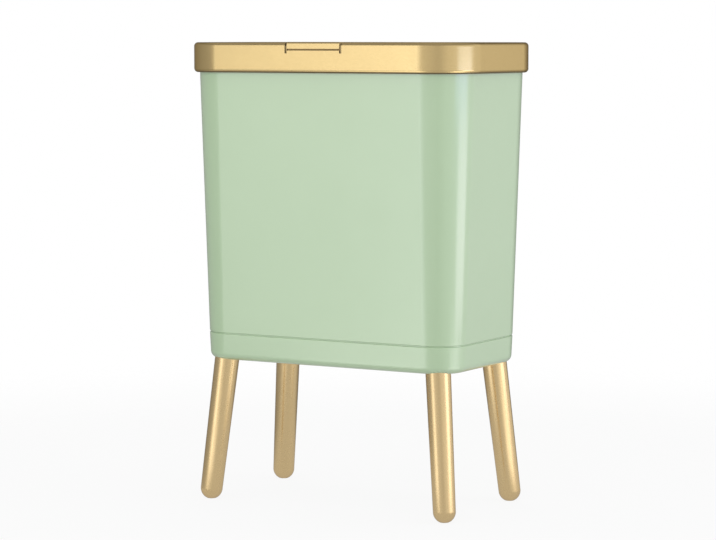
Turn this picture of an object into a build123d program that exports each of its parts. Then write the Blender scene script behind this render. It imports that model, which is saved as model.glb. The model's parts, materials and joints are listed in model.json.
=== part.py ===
from build123d import *
import math
import os

# Slim bin on four splayed legs, in millimetres.
# +Z is up, the front faces -Y, the width runs along X.
# The origin is on the floor below the middle of the bin.

# Overall sizes
HEIGHT = 500.0
RIM_WIDTH = 345.5
RIM_DEPTH = 198.5
RIM_CORNER = 50.5
RIM_TALL = 32.3
LEG_TALL = 154.7
BASE_TALL = 28.8
SEAM_GAP = 1.0
BUTTON_PROUD = 0.5

# Gold frame
SKIRT_WALL = 3.2
BAND_WIDTH = 12.5
BAND_THICK = 3.0
RIM_EDGE = 3.0

# Bucket and base
OVERHANG = 6.3
TAPER = 0.033
BUCKET_WALL = 2.2
BUCKET_FLOOR = 2.5
BUCKET_INNER_EDGE = 6.0
BUCKET_DROP = 15.5
BASE_WALL = 2.4
BASE_EDGE = 8.0
SPIGOT_WALL = 2.0
SPIGOT_TALL = 6.0
SPIGOT_GAP = 0.3

# Legs
LEG_INSET_X = 24.6
LEG_INSET_Y = 18.6
SPLAY_X = 13.8
SPLAY_Y = 11.2
LEG_TOP_RADIUS = 13.45
FOOT_RADIUS = 12.05
FOOT_FLAT = 5.0
LEG_WALL = 1.5
SOCKET_DEPTH = 9.0
SOCKET_GAP = 0.3
SOCKET_WALL = 2.4
PLUG_LENGTH = 20.0
STUD_RADIUS = 4.0
STUD_IN_PLUG = 16.0
STUD_IN_BASE = 11.0
INSERT_RADIUS = 5.6
INSERT_LENGTH = 13.0
INSERT_CAP = 2.4
THREAD_GAP = 0.05

# Seat ring under the gold frame
SEAT_FLANGE = 2.5
SEAT_WALL = 2.5
SEAT_SKIRT = 14.0
SEAT_FIT = 0.2
SEAT_RIB_WIDTH = 3.0
SEAT_RIB_GAP = 0.35
LEDGE_WIDTH = 6.5
LEDGE_THICK = 2.4

# Lid and hinge
LID_RECESS = 0.5
LID_GAP = 1.2
LID_WALL = 2.2
LID_TALL = 7.6
LID_EDGE = 1.0
UNDERSIDE_THICK = 2.0
UNDERSIDE_GAP = 0.3
HINGE_SETBACK = 53.25
NOSE_RADIUS = 7.0
NOSE_GAP = 1.0
PIN_RADIUS = 2.0
PIN_FIT = 0.05
EAR_INSET = 17.55
EAR_THICK = 4.0
EAR_RADIUS = 4.4
EAR_NECK = 4.0
SWING_GAP = 0.5
DECK_WALL_DROP = 23.0
ARM_GAP = 0.6
ARM_TALL = 3.4
WEB_THICK = 3.0
WEB_RADIUS = 4.9
WEB_GAP = 1.5
UNDERSIDE_END = 8.0

# Lid springs
COIL_RADIUS = 3.3
COIL_WIRE = 0.45
COIL_PITCH = 1.45
COIL_TURNS = 7.75
SPRING_ARM = 16.0
ARM_TOUCH = 0.05

# Barrel damper
DAMPER_X = 40.0
DAMPER_LENGTH = 24.0
DAMPER_BORE = 3.2
DAMPER_FIT = 0.1
DAMPER_END = 2.0
DAMPER_FOOT = 16.0
DAMPER_WEB = 4.0
DAMPER_FLAT = 1.2

# Press button and latch
NOTCH_HALF = 34.2
SLOT_WIDTH = 1.6
SLOT_DROP = 3.4
BUTTON_FACE = 7.7
BUTTON_GAP = 0.9
BUTTON_WALL = 2.8
BUTTON_TOP = 8.0
BUTTON_TRAVEL = 2.0
TRAVEL_SPARE = 0.4
FLANGE_THICK = 1.8
FLANGE_GAP = 0.3
GUIDE_THICK = 1.0
GUIDE_RECESS = 1.0
BUTTON_SPRING_X = 22.0
BUTTON_COIL = 2.1
BUTTON_WIRE = 0.25
BUTTON_TURNS = 5.0
PEG_RADIUS = 1.4
PEG_LENGTH = 1.2
LATCH_THICK = 1.4
LATCH_WIDTH = 22.0
LATCH_WINDOW = 13.0
LATCH_GAP = 0.5
LATCH_BAR = 6.0
CATCH_WIDTH = 10.0
CATCH_STEM = 2.2
CATCH_NOSE = 3.0
CATCH_BITE = 1.2
CATCH_SETBACK = 0.6
CATCH_NOSE_GAP = 0.4
CATCH_NOSE_TALL = 2.8
CATCH_FLANGE = 2.2
CATCH_PLATE_WIDTH = 28.0
CATCH_PLATE_DEPTH = 9.0
COVER_WALL = 1.5
COVER_GAP = 1.2
COVER_EAR = 12.5
COVER_SCREW_X = 23.0

# Small screws, all with the same thread
SCREW_RADIUS = 1.2
SCREW_PILOT = 1.25
SCREW_CLEAR = 1.5
SCREW_HEAD = 2.3
SCREW_HEAD_TALL = 1.7
SCREW_BITE = 4.2
BOSS_RADIUS = 3.1
HEAD_GAP = 0.2

# Base screws
BASE_SCREW_INSET_X = 61.0
BASE_SCREW_INSET_Y = 24.6
BASE_SCREW_RADIUS = 1.9
BASE_SCREW_HEAD = 3.8
BASE_SCREW_HEAD_TALL = 2.4
BASE_SCREW_SINK = 6.0
BASE_SCREW_BITE = 12.0
BASE_BOSS_RADIUS = 5.5
BASE_BOSS_WALL = 3.0
BASE_BOSS_TALL = 16.0

# Rubber pads under the lid
PAD_RADIUS = 2.8
PAD_TALL = 0.5
PAD_PEG = 1.2
PAD_FIT = 0.05
PAD_SETBACK = 20.0

# Screw places round the top
RIM_SCREW_SETBACK = 26.0
DECK_SCREW_ANGLE = 20.0
LID_SCREW_INSET = 39.0
LID_SCREW_SETBACK = 16.0

CUT = 1.0

# Levels, from the floor up
BASE_BOTTOM = LEG_TALL
BASE_TOP = BASE_BOTTOM + BASE_TALL
BUCKET_BOTTOM = BASE_TOP + SEAM_GAP
RIM_TOP = HEIGHT - BUTTON_PROUD
RIM_BOTTOM = RIM_TOP - RIM_TALL
BAND_UNDER = RIM_TOP - BAND_THICK
BUCKET_TOP = RIM_TOP - BUCKET_DROP
FLANGE_TOP = BUCKET_TOP + SEAT_FLANGE
LID_TOP = RIM_TOP - LID_RECESS
LID_BOTTOM = LID_TOP - LID_TALL
LID_INSIDE = LID_TOP - LID_WALL
LEDGE_TOP = LID_BOTTOM - PAD_TALL
LEDGE_BOTTOM = LEDGE_TOP - LEDGE_THICK
HINGE_Z = LID_TOP - NOSE_RADIUS
ARM_TOP = HINGE_Z - NOSE_RADIUS - ARM_GAP
ARM_BOTTOM = ARM_TOP - ARM_TALL
DECK_WALL_BOTTOM = LID_TOP - DECK_WALL_DROP
BUTTON_BOTTOM = HEIGHT - BUTTON_FACE
TONGUE_TOP = BUTTON_BOTTOM - BUTTON_GAP
SLOT_BOTTOM = TONGUE_TOP - SLOT_DROP
LATCH_LOW = FLANGE_TOP + LATCH_GAP
LATCH_HIGH = LATCH_LOW + LATCH_THICK

# Insets from the gold frame's outline
SEAT_OUTER = BAND_WIDTH - SEAT_WALL
LEDGE_INNER = BAND_WIDTH + LEDGE_WIDTH
LID_OUTLINE = BAND_WIDTH + LID_GAP
CHANNEL = (SKIRT_WALL + SEAT_FIT + SEAT_OUTER) / 2
PAD_INSET = BAND_WIDTH + LEDGE_WIDTH / 2
DECK_SCREW_INSET = BAND_WIDTH + LEDGE_WIDTH / 2

# Straight stretches of the outline, from the middle to where the corners start
STRAIGHT_X = RIM_WIDTH / 2 - RIM_CORNER
STRAIGHT_Y = RIM_DEPTH / 2 - RIM_CORNER

# Places along X
LID_HALF = RIM_WIDTH / 2 - LID_OUTLINE
EAR_X = LID_HALF - EAR_INSET
WEB_OUTER_X = EAR_X + EAR_THICK + WEB_GAP
COIL_START_X = EAR_X - LID_GAP - COIL_WIRE
COIL_LENGTH = COIL_PITCH * COIL_TURNS
COIL_END_X = COIL_START_X - COIL_LENGTH
WEB_INNER_X = COIL_END_X - WEB_GAP - WEB_THICK

# Places along Y
HINGE_Y = RIM_DEPTH / 2 - HINGE_SETBACK
FRONT = -RIM_DEPTH / 2
SKIRT_INSIDE_Y = FRONT + SKIRT_WALL
SEAT_FACE_Y = FRONT + SEAT_OUTER
SEAT_INSIDE_Y = FRONT + BAND_WIDTH
NOSE_END = HINGE_Y + NOSE_RADIUS
DECK_FRONT = NOSE_END + NOSE_GAP
SWING_Y = HINGE_Y - (HINGE_Z - LID_BOTTOM) - SWING_GAP
ARM_FRONT = SWING_Y - EAR_NECK
UNDERSIDE_REAR = HINGE_Y - UNDERSIDE_END
BUTTON_HALF = NOTCH_HALF - SLOT_WIDTH
FLANGE_Y = SKIRT_INSIDE_Y + FLANGE_GAP
FLANGE_BACK = FLANGE_Y + FLANGE_THICK
CATCH_Y = FRONT + LID_OUTLINE + LID_WALL + UNDERSIDE_GAP + CATCH_SETBACK
CATCH_BACK = CATCH_Y + CATCH_STEM
NOSE_TIP = CATCH_BACK + CATCH_NOSE
BAR_Y = NOSE_TIP - CATCH_BITE
WINDOW_Y = CATCH_Y - BUTTON_TRAVEL - 2 * FLANGE_GAP
BAR_BACK = BAR_Y + LATCH_BAR
CATCH_NOSE_TOP = LATCH_LOW - CATCH_NOSE_GAP
CATCH_BOTTOM = CATCH_NOSE_TOP - CATCH_NOSE_TALL
COVER_FLOOR = CATCH_BOTTOM - COVER_GAP
COVER_BOTTOM = COVER_FLOOR - COVER_WALL
COVER_HALF = LATCH_WIDTH / 2 + COVER_GAP + COVER_WALL
COVER_BACK = BAR_BACK + BUTTON_TRAVEL + COVER_GAP + COVER_WALL
COVER_EAR_TOP = LEDGE_BOTTOM - SCREW_BITE

# Splayed leg, as a unit direction from the foot up
FOOT_Z = math.sqrt(FOOT_RADIUS**2 - FOOT_FLAT**2)
BASE_INSET = OVERHANG + TAPER * (RIM_BOTTOM - BASE_BOTTOM)
BASE_HALF_X = RIM_WIDTH / 2 - BASE_INSET
BASE_HALF_Y = RIM_DEPTH / 2 - BASE_INSET
LEG_TOP_X = BASE_HALF_X - LEG_INSET_X
LEG_TOP_Y = BASE_HALF_Y - LEG_INSET_Y
LEG_RUN = Vector(-SPLAY_X, -SPLAY_Y, LEG_TALL - FOOT_Z)
LEG_UP = LEG_RUN.normalized()
LEG_LENGTH = LEG_RUN.length + SOCKET_DEPTH
CORNERS = (("front_left", -1, -1), ("front_right", 1, -1), ("rear_left", -1, 1), ("rear_right", 1, 1))


def block(x0, x1, y0, y1, z0, z1):
    middle = Pos((x0 + x1) / 2, (y0 + y1) / 2, (z0 + z1) / 2)
    return middle * Box(x1 - x0, y1 - y0, z1 - z0)


def wide_block(half, y0, y1, z0, z1):
    return block(-half, half, y0, y1, z0, z1)


def rod_x(radius, x0, x1, y, z):
    return Pos((x0 + x1) / 2, y, z) * Rot(0, 90, 0) * Cylinder(radius, abs(x1 - x0))


def rod_y(radius, x, y0, y1, z):
    return Pos(x, (y0 + y1) / 2, z) * Rot(90, 0, 0) * Cylinder(radius, abs(y1 - y0))


def rod_z(radius, x, y, z0, z1):
    return Pos(x, y, (z0 + z1) / 2) * Cylinder(radius, z1 - z0)


def both_sides(shape):
    return shape + mirror(shape, about=Plane.YZ)


def outline(inset):
    """The gold frame's outline, drawn in by an inset."""
    return RectangleRounded(RIM_WIDTH - 2 * inset, RIM_DEPTH - 2 * inset, RIM_CORNER - inset)


def slab(inset, z0, z1):
    return Pos(0, 0, z0) * extrude(outline(inset), z1 - z0)


def ring(outer, inner, z0, z1):
    return Pos(0, 0, z0) * extrude(outline(outer) - outline(inner), z1 - z0)


def body_inset(z):
    """How far the tapered side lies inside the gold frame's outline at a height."""
    return OVERHANG + TAPER * (RIM_BOTTOM - z)


def tapered(z0, z1, inset):
    low = Pos(0, 0, z0) * outline(body_inset(z0) + inset)
    high = Pos(0, 0, z1) * outline(body_inset(z1) + inset)
    return loft([low, high], ruled=True)


def corner_point(inset, angle):
    """A point on the outline's rear right corner, at an angle from +X."""
    reach = RIM_CORNER - inset
    x = RIM_WIDTH / 2 - RIM_CORNER + reach * math.cos(math.radians(angle))
    y = RIM_DEPTH / 2 - RIM_CORNER + reach * math.sin(math.radians(angle))
    return x, y


def screw_up(x, y, seat, length, head=SCREW_HEAD, tall=SCREW_HEAD_TALL, radius=SCREW_RADIUS):
    """A pan-head screw that points up, with its head below the seat."""
    return rod_z(head, x, y, seat - tall, seat) + rod_z(radius, x, y, seat, seat + length)


def flush_screw(x, y, seat, length):
    """A countersunk screw that points up, its head flush with the seat."""
    head_tall = SCREW_HEAD - SCREW_RADIUS
    head = Pos(x, y, seat + head_tall / 2) * Cone(SCREW_HEAD, SCREW_RADIUS, head_tall)
    return head + rod_z(SCREW_RADIUS, x, y, seat + head_tall, seat + length)


def flush_hole(x, y, seat, z1):
    head_tall = SCREW_HEAD - SCREW_RADIUS
    wide = SCREW_HEAD + HEAD_GAP
    cone = Pos(x, y, seat + head_tall / 2) * Cone(wide, SCREW_RADIUS + HEAD_GAP, head_tall)
    return cone + rod_z(SCREW_RADIUS + HEAD_GAP, x, y, seat + head_tall, z1)


def leg_place(side_x, side_y):
    """The leg's frame: +Z up the leg, with its origin at the socket's seat."""
    up = Vector(side_x * LEG_UP.X, side_y * LEG_UP.Y, LEG_UP.Z)
    top = Vector(side_x * LEG_TOP_X, side_y * LEG_TOP_Y, LEG_TALL)
    return Plane(origin=top + up * SOCKET_DEPTH, z_dir=up).location


def base_screw_places():
    x = BASE_HALF_X - BASE_SCREW_INSET_X
    y = BASE_HALF_Y - BASE_SCREW_INSET_Y
    return [(sx * x, row) for sx in (-1, 1) for row in (-y, 0.0, y)]


def rim_screw_places():
    side = RIM_DEPTH / 2 - CHANNEL
    end = RIM_WIDTH / 2 - CHANNEL
    x = STRAIGHT_X - RIM_SCREW_SETBACK
    y = STRAIGHT_Y - RIM_SCREW_SETBACK
    long_sides = [(sx * x, sy * side) for sx in (-1, 1) for sy in (-1, 1)]
    ends = [(sx * end, sy * y) for sx in (-1, 1) for sy in (-1, 1)]
    return long_sides + ends


def deck_screw_places():
    x, y = corner_point(DECK_SCREW_INSET, DECK_SCREW_ANGLE)
    rear_x = STRAIGHT_X - RIM_SCREW_SETBACK
    rear_y = RIM_DEPTH / 2 - DECK_SCREW_INSET
    return [(-x, y), (x, y), (-rear_x, rear_y), (rear_x, rear_y)]


def lid_screw_places():
    x = LID_HALF - LID_SCREW_INSET
    front = FRONT + LID_OUTLINE + LID_WALL + LID_SCREW_SETBACK
    rear = UNDERSIDE_REAR - LID_SCREW_SETBACK
    return [(sx * x, y) for sx in (-1, 1) for y in (front, rear)]


def catch_screw_places():
    x = (CATCH_WIDTH + CATCH_PLATE_WIDTH) / 4
    y = CATCH_BACK + (CATCH_PLATE_DEPTH - CATCH_STEM) / 2
    return [(-x, y), (x, y)]


def pad_places():
    front = PAD_INSET - RIM_DEPTH / 2
    side = RIM_WIDTH / 2 - PAD_INSET
    x = STRAIGHT_X - PAD_SETBACK
    y = STRAIGHT_Y - PAD_SETBACK
    return [(sx * px, py) for sx in (-1, 1) for px, py in ((x, front), (side, -y), (side, y))]


def cover_screw_places():
    y = SEAT_INSIDE_Y + LEDGE_WIDTH / 2
    return [(-COVER_SCREW_X, y), (COVER_SCREW_X, y)]


def make_bucket():
    outer = tapered(BUCKET_BOTTOM, BUCKET_TOP, 0)
    inner = tapered(BUCKET_BOTTOM + BUCKET_FLOOR, BUCKET_TOP + CUT, BUCKET_WALL)
    inner = fillet(inner.edges().group_by(Axis.Z)[0], BUCKET_INNER_EDGE)
    shell = outer - inner
    spigot_inset = BASE_WALL + SPIGOT_GAP
    spigot_low = BUCKET_BOTTOM - SPIGOT_TALL
    spigot = tapered(spigot_low, BUCKET_BOTTOM, spigot_inset)
    spigot -= tapered(spigot_low - CUT, BUCKET_BOTTOM + CUT, spigot_inset + SPIGOT_WALL)
    shell += spigot
    boss_low = BASE_BOTTOM + BASE_WALL + BASE_BOSS_TALL
    for x, y in base_screw_places():
        shell += rod_z(BASE_BOSS_RADIUS, x, y, boss_low, BUCKET_BOTTOM)
    for x, y in base_screw_places():
        shell -= rod_z(BASE_SCREW_RADIUS + THREAD_GAP, x, y, boss_low - CUT, BUCKET_BOTTOM + CUT)
    return shell


def make_base_pan():
    outer = tapered(BASE_BOTTOM, BASE_TOP, 0)
    outer = fillet(outer.edges().group_by(Axis.Z)[0], BASE_EDGE)
    inner = tapered(BASE_BOTTOM + BASE_WALL, BASE_TOP + CUT, BASE_WALL)
    inner = fillet(inner.edges().group_by(Axis.Z)[0], BASE_EDGE - BASE_WALL)
    pan = outer - inner
    socket = LEG_TOP_RADIUS + SOCKET_GAP
    solid_legs = [leg_boss(sx, sy, socket) for _, sx, sy in CORNERS]
    for boss in solid_legs:
        pan += boss & outer
    for x, y in base_screw_places():
        pan += rod_z(BASE_BOSS_RADIUS, x, y, BASE_BOTTOM + CUT, BASE_BOTTOM + BASE_WALL + BASE_BOSS_TALL)
    for _, sx, sy in CORNERS:
        place = leg_place(sx, sy)
        pan -= place * Pos(0, 0, -SOCKET_DEPTH) * Cylinder(socket, 2 * SOCKET_DEPTH)
        pan -= place * Pos(0, 0, INSERT_LENGTH / 2) * Cylinder(INSERT_RADIUS + THREAD_GAP, INSERT_LENGTH)
    head_seat = BASE_BOTTOM + BASE_SCREW_SINK
    for x, y in base_screw_places():
        pan -= rod_z(BASE_SCREW_HEAD + HEAD_GAP, x, y, BASE_BOTTOM - CUT, head_seat)
        pan -= rod_z(BASE_SCREW_RADIUS + HEAD_GAP, x, y, head_seat - CUT, BASE_TOP)
    return pan


def leg_boss(side_x, side_y, socket):
    """The socket's outside and the narrower boss above it, in the leg's frame."""
    low = Pos(0, 0, -SOCKET_DEPTH / 2) * Cylinder(socket + SOCKET_WALL, 2 * SOCKET_DEPTH)
    tall = INSERT_LENGTH + INSERT_CAP
    high = Pos(0, 0, tall / 2) * Cylinder(INSERT_RADIUS + SOCKET_WALL, tall)
    return leg_place(side_x, side_y) * (low + high)


def make_base_screws():
    seat = BASE_BOTTOM + BASE_SCREW_SINK
    length = BASE_WALL + BASE_BOSS_TALL - BASE_SCREW_SINK + BASE_SCREW_BITE
    head, tall, radius = BASE_SCREW_HEAD, BASE_SCREW_HEAD_TALL, BASE_SCREW_RADIUS
    return [screw_up(x, y, seat, length, head, tall, radius) for x, y in base_screw_places()]


def make_leg(side_x, side_y):
    place = leg_place(side_x, side_y)
    outer = Pos(0, 0, -LEG_LENGTH / 2) * Cone(FOOT_RADIUS, LEG_TOP_RADIUS, LEG_LENGTH)
    outer += Pos(0, 0, -LEG_LENGTH) * Sphere(FOOT_RADIUS)
    inner = Pos(0, 0, -LEG_LENGTH / 2) * Cone(FOOT_RADIUS - LEG_WALL, LEG_TOP_RADIUS - LEG_WALL, LEG_LENGTH)
    inner += Pos(0, 0, -LEG_LENGTH) * Sphere(FOOT_RADIUS - 2 * LEG_WALL)
    leg = place * (outer - inner)
    floor = block(-RIM_WIDTH, RIM_WIDTH, -RIM_DEPTH, RIM_DEPTH, -FOOT_RADIUS, 0)
    return leg - floor


def make_leg_plugs():
    radius = LEG_TOP_RADIUS - LEG_WALL - THREAD_GAP * 4
    plug = Pos(0, 0, -PLUG_LENGTH / 2) * Cylinder(radius, PLUG_LENGTH)
    plug -= Pos(0, 0, -PLUG_LENGTH / 2) * Cylinder(STUD_RADIUS + THREAD_GAP, PLUG_LENGTH)
    return [leg_place(sx, sy) * plug for _, sx, sy in CORNERS]


def make_leg_studs():
    length = STUD_IN_PLUG + STUD_IN_BASE
    stud = Pos(0, 0, STUD_IN_BASE - length / 2) * Cylinder(STUD_RADIUS, length)
    return [leg_place(sx, sy) * stud for _, sx, sy in CORNERS]


def make_leg_inserts():
    insert = Pos(0, 0, INSERT_LENGTH / 2) * Cylinder(INSERT_RADIUS, INSERT_LENGTH)
    insert -= Pos(0, 0, INSERT_LENGTH / 2) * Cylinder(STUD_RADIUS + THREAD_GAP, INSERT_LENGTH)
    return [leg_place(sx, sy) * insert for _, sx, sy in CORNERS]


def make_rim_frame():
    frame = slab(0, RIM_BOTTOM, RIM_TOP)
    frame = fillet(frame.edges().group_by(Axis.Z)[0] + frame.edges().group_by(Axis.Z)[-1], RIM_EDGE)
    frame -= slab(SKIRT_WALL, RIM_BOTTOM - CUT, BAND_UNDER)
    frame -= slab(BAND_WIDTH, RIM_BOTTOM - CUT, RIM_TOP + CUT)
    for x, y in rim_screw_places():
        frame += rod_z(BOSS_RADIUS, x, y, FLANGE_TOP + SCREW_BITE, BAND_UNDER)
        frame -= rod_z(SCREW_PILOT, x, y, FLANGE_TOP, BAND_UNDER - CUT)
    notch_back = FRONT + BUTTON_TOP + BUTTON_TRAVEL + TRAVEL_SPARE
    frame -= wide_block(NOTCH_HALF, FRONT - CUT, notch_back, TONGUE_TOP, HEIGHT)
    slot = block(BUTTON_HALF, NOTCH_HALF, FRONT - CUT, SKIRT_INSIDE_Y + CUT, SLOT_BOTTOM, HEIGHT)
    return frame - both_sides(slot)


def make_seat_ring():
    seat = ring(SEAT_OUTER, BAND_WIDTH, BUCKET_TOP - SEAT_SKIRT, BAND_UNDER)
    seat += ring(SKIRT_WALL + SEAT_FIT, BAND_WIDTH, BUCKET_TOP, FLANGE_TOP)
    seat += ring(SEAT_OUTER, LEDGE_INNER, LEDGE_BOTTOM, LEDGE_TOP) - hinge_gap()
    seat += seat_ribs()
    for x, y in rim_screw_places():
        seat += rod_z(BOSS_RADIUS, x, y, BUCKET_TOP, FLANGE_TOP + SCREW_BITE)
        seat -= rod_z(SCREW_HEAD + HEAD_GAP, x, y, BUCKET_TOP - CUT, FLANGE_TOP)
        seat -= rod_z(SCREW_CLEAR, x, y, BUCKET_TOP, BAND_UNDER)
    for x, y in deck_screw_places():
        seat -= rod_z(SCREW_CLEAR, x, y, LEDGE_BOTTOM - CUT, LEDGE_TOP + CUT)
    for x, y in pad_places():
        seat -= rod_z(PAD_PEG + PAD_FIT, x, y, LEDGE_BOTTOM - CUT, LEDGE_TOP + CUT)
    for x, y in cover_screw_places():
        seat += rod_z(BOSS_RADIUS - CUT / 2, x, y, COVER_EAR_TOP, LEDGE_BOTTOM + CUT)
        seat -= rod_z(SCREW_PILOT, x, y, COVER_EAR_TOP - CUT, LEDGE_BOTTOM + CUT)
    slot_half = LATCH_WIDTH / 2 + COVER_GAP
    slot_top = LATCH_HIGH + LATCH_GAP
    seat -= wide_block(slot_half, SEAT_FACE_Y - CUT, SEAT_INSIDE_Y + CUT, FLANGE_TOP, slot_top)
    ledge_half = CATCH_PLATE_WIDTH / 2 + COVER_GAP
    ledge_back = FRONT + LEDGE_INNER + CUT
    seat -= wide_block(ledge_half, SEAT_INSIDE_Y, ledge_back, LEDGE_BOTTOM - CUT, LEDGE_TOP + CUT)
    return seat


def hinge_gap():
    """The stretch where the ledge stops short, so that the lid's nose can turn."""
    low = LEDGE_BOTTOM - CUT
    return wide_block(RIM_WIDTH / 2 - BAND_WIDTH, SWING_Y, DECK_FRONT, low, LEDGE_TOP + CUT)


def seat_ribs():
    """Upright ribs that centre the ring in the bucket's mouth."""
    low = BUCKET_TOP - SEAT_SKIRT
    wide = tapered(low, BUCKET_TOP, BUCKET_WALL + SEAT_RIB_GAP) - slab(SEAT_OUTER + CUT, low, BUCKET_TOP)
    half = SEAT_RIB_WIDTH / 2
    bars = []
    for x, y in rim_screw_places():
        if abs(y) > STRAIGHT_Y:
            bars.append(block(x - half, x + half, min(y, 0), max(y, 0), low, BUCKET_TOP))
        else:
            bars.append(block(min(x, 0), max(x, 0), y - half, y + half, low, BUCKET_TOP))
    return [wide & bar for bar in bars]


def make_rim_screws():
    reach = SCREW_BITE * 2 - CUT
    return [screw_up(x, y, FLANGE_TOP, reach) for x, y in rim_screw_places()]


def rear_part(inset, start, z0, z1):
    """The part of an inset slab that lies behind a line along X."""
    return slab(inset, z0, z1) & block(-RIM_WIDTH, RIM_WIDTH, start, RIM_DEPTH, z0, z1)


def front_part(inset, end, z0, z1):
    """The part of an inset slab that lies in front of a line along X."""
    return slab(inset, z0, z1) & block(-RIM_WIDTH, RIM_WIDTH, -RIM_DEPTH, end, z0, z1)


def make_hinge_deck():
    edge = BAND_WIDTH + LID_GAP / 2
    deck = rear_part(edge, DECK_FRONT, LEDGE_TOP, LID_TOP)
    deck -= rear_part(edge + LID_WALL, DECK_FRONT + LID_WALL, LEDGE_TOP - CUT, LID_INSIDE)
    wall_half = RIM_WIDTH / 2 - LEDGE_INNER - LID_GAP
    wall_back = DECK_FRONT + LID_WALL
    deck += wide_block(wall_half - RIM_EDGE, DECK_FRONT, wall_back, DECK_WALL_BOTTOM, LEDGE_TOP + CUT)
    deck += both_sides(hinge_ear())
    for x, y in deck_screw_places():
        deck += rod_z(BOSS_RADIUS, x, y, LEDGE_TOP, LID_INSIDE + CUT / 2)
        deck -= rod_z(SCREW_PILOT, x, y, LEDGE_TOP - CUT, LID_INSIDE)
    for x, z in damper_screw_places():
        deck += rod_y(BOSS_RADIUS, x, DECK_FRONT + CUT, wall_back + SCREW_BITE, z)
        deck -= rod_y(SCREW_PILOT, x, DECK_FRONT - CUT, wall_back + SCREW_BITE - CUT, z)
    return deck


def hinge_ear():
    """A J-shaped ear that reaches under the lid's nose to the hinge axis."""
    ear_end = EAR_X + EAR_THICK
    ear = rod_x(EAR_RADIUS, EAR_X, ear_end, HINGE_Y, HINGE_Z)
    ear += block(EAR_X, ear_end, ARM_FRONT, SWING_Y, ARM_BOTTOM, HINGE_Z)
    spring_seat = EAR_X - EAR_THICK
    ear += block(spring_seat, ear_end, ARM_FRONT, DECK_FRONT + CUT, ARM_BOTTOM, ARM_TOP)
    return ear - rod_x(PIN_RADIUS + PIN_FIT, EAR_X - CUT, ear_end + CUT, HINGE_Y, HINGE_Z)


def make_deck_screws():
    return [screw_up(x, y, LEDGE_BOTTOM, LEDGE_THICK + SCREW_BITE) for x, y in deck_screw_places()]


def nose_edge(shape):
    """The top edge along the rear, which the nose is rounded from."""
    return shape.edges().filter_by(Axis.X).group_by(Axis.Y)[-1].group_by(Axis.Z)[-1]


def make_lid_panel():
    outer = front_part(LID_OUTLINE, NOSE_END, LID_BOTTOM, LID_TOP)
    outer = fillet(nose_edge(outer), NOSE_RADIUS)
    outer = fillet(outer.faces().sort_by(Axis.Z)[-1].edges() - nose_line(outer), LID_EDGE)
    inner = front_part(LID_OUTLINE + LID_WALL, NOSE_END - LID_WALL, LID_BOTTOM - CUT, LID_INSIDE)
    inner = fillet(nose_edge(inner), NOSE_RADIUS - LID_WALL)
    panel = outer - inner
    for x, y in lid_screw_places() + catch_screw_places():
        panel += rod_z(BOSS_RADIUS, x, y, LID_BOTTOM + UNDERSIDE_THICK, LID_INSIDE + CUT / 2)
        panel -= rod_z(SCREW_PILOT, x, y, LID_BOTTOM, LID_INSIDE + CUT / 2)
    panel += both_sides(hinge_web(WEB_INNER_X, WEB_THICK) + hinge_web(WEB_OUTER_X, WEB_THICK))
    hole_end = WEB_OUTER_X + WEB_THICK + CUT
    panel -= both_sides(rod_x(PIN_RADIUS + PIN_FIT / 2, WEB_INNER_X - CUT, hole_end, HINGE_Y, HINGE_Z))
    web_x = DAMPER_X + DAMPER_LENGTH + DAMPER_END
    panel += hinge_web(web_x, DAMPER_WEB)
    return panel - damper_key(web_x - CUT, web_x + DAMPER_WEB + CUT, PIN_RADIUS + PIN_FIT)


def nose_line(shape):
    """The tangent line where the flat top meets the nose."""
    return shape.faces().sort_by(Axis.Z)[-1].edges().filter_by(Axis.X).sort_by(Axis.Y)[-1:]


def hinge_web(x, thick):
    """A web inside the nose, round the hinge axis."""
    web = rod_x(WEB_RADIUS - LID_WALL / 4, x, x + thick, HINGE_Y, HINGE_Z)
    low = HINGE_Z - CUT / 2
    return web + block(x, x + thick, HINGE_Y - NOSE_RADIUS, HINGE_Y, low, LID_INSIDE + CUT / 2)


def make_lid_underside():
    inset = LID_OUTLINE + LID_WALL + UNDERSIDE_GAP
    high = LID_BOTTOM + UNDERSIDE_THICK
    plate = front_part(inset, UNDERSIDE_REAR, LID_BOTTOM, high)
    for x, y in lid_screw_places():
        plate -= flush_hole(x, y, LID_BOTTOM, high + CUT)
    for x, y in catch_screw_places():
        plate -= rod_z(SCREW_CLEAR, x, y, LID_BOTTOM - CUT, high + CUT)
    arm_top = HINGE_Z - COIL_RADIUS + COIL_WIRE + ARM_TOUCH
    arm_end = HINGE_Y - SPRING_ARM
    pad_back = arm_end + SPRING_ARM / 4
    pad = block(COIL_END_X - CUT, COIL_END_X + CUT, arm_end, pad_back, arm_top, LID_BOTTOM + CUT)
    return plate + both_sides(pad)


def make_lid_screws():
    length = UNDERSIDE_THICK + SCREW_BITE - CUT
    return [flush_screw(x, y, LID_BOTTOM, length) for x, y in lid_screw_places()]


def make_catch_screws():
    length = CATCH_FLANGE + UNDERSIDE_THICK + SCREW_BITE - CUT
    return [flush_screw(x, y, LID_BOTTOM - CATCH_FLANGE, length) for x, y in catch_screw_places()]


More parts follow.
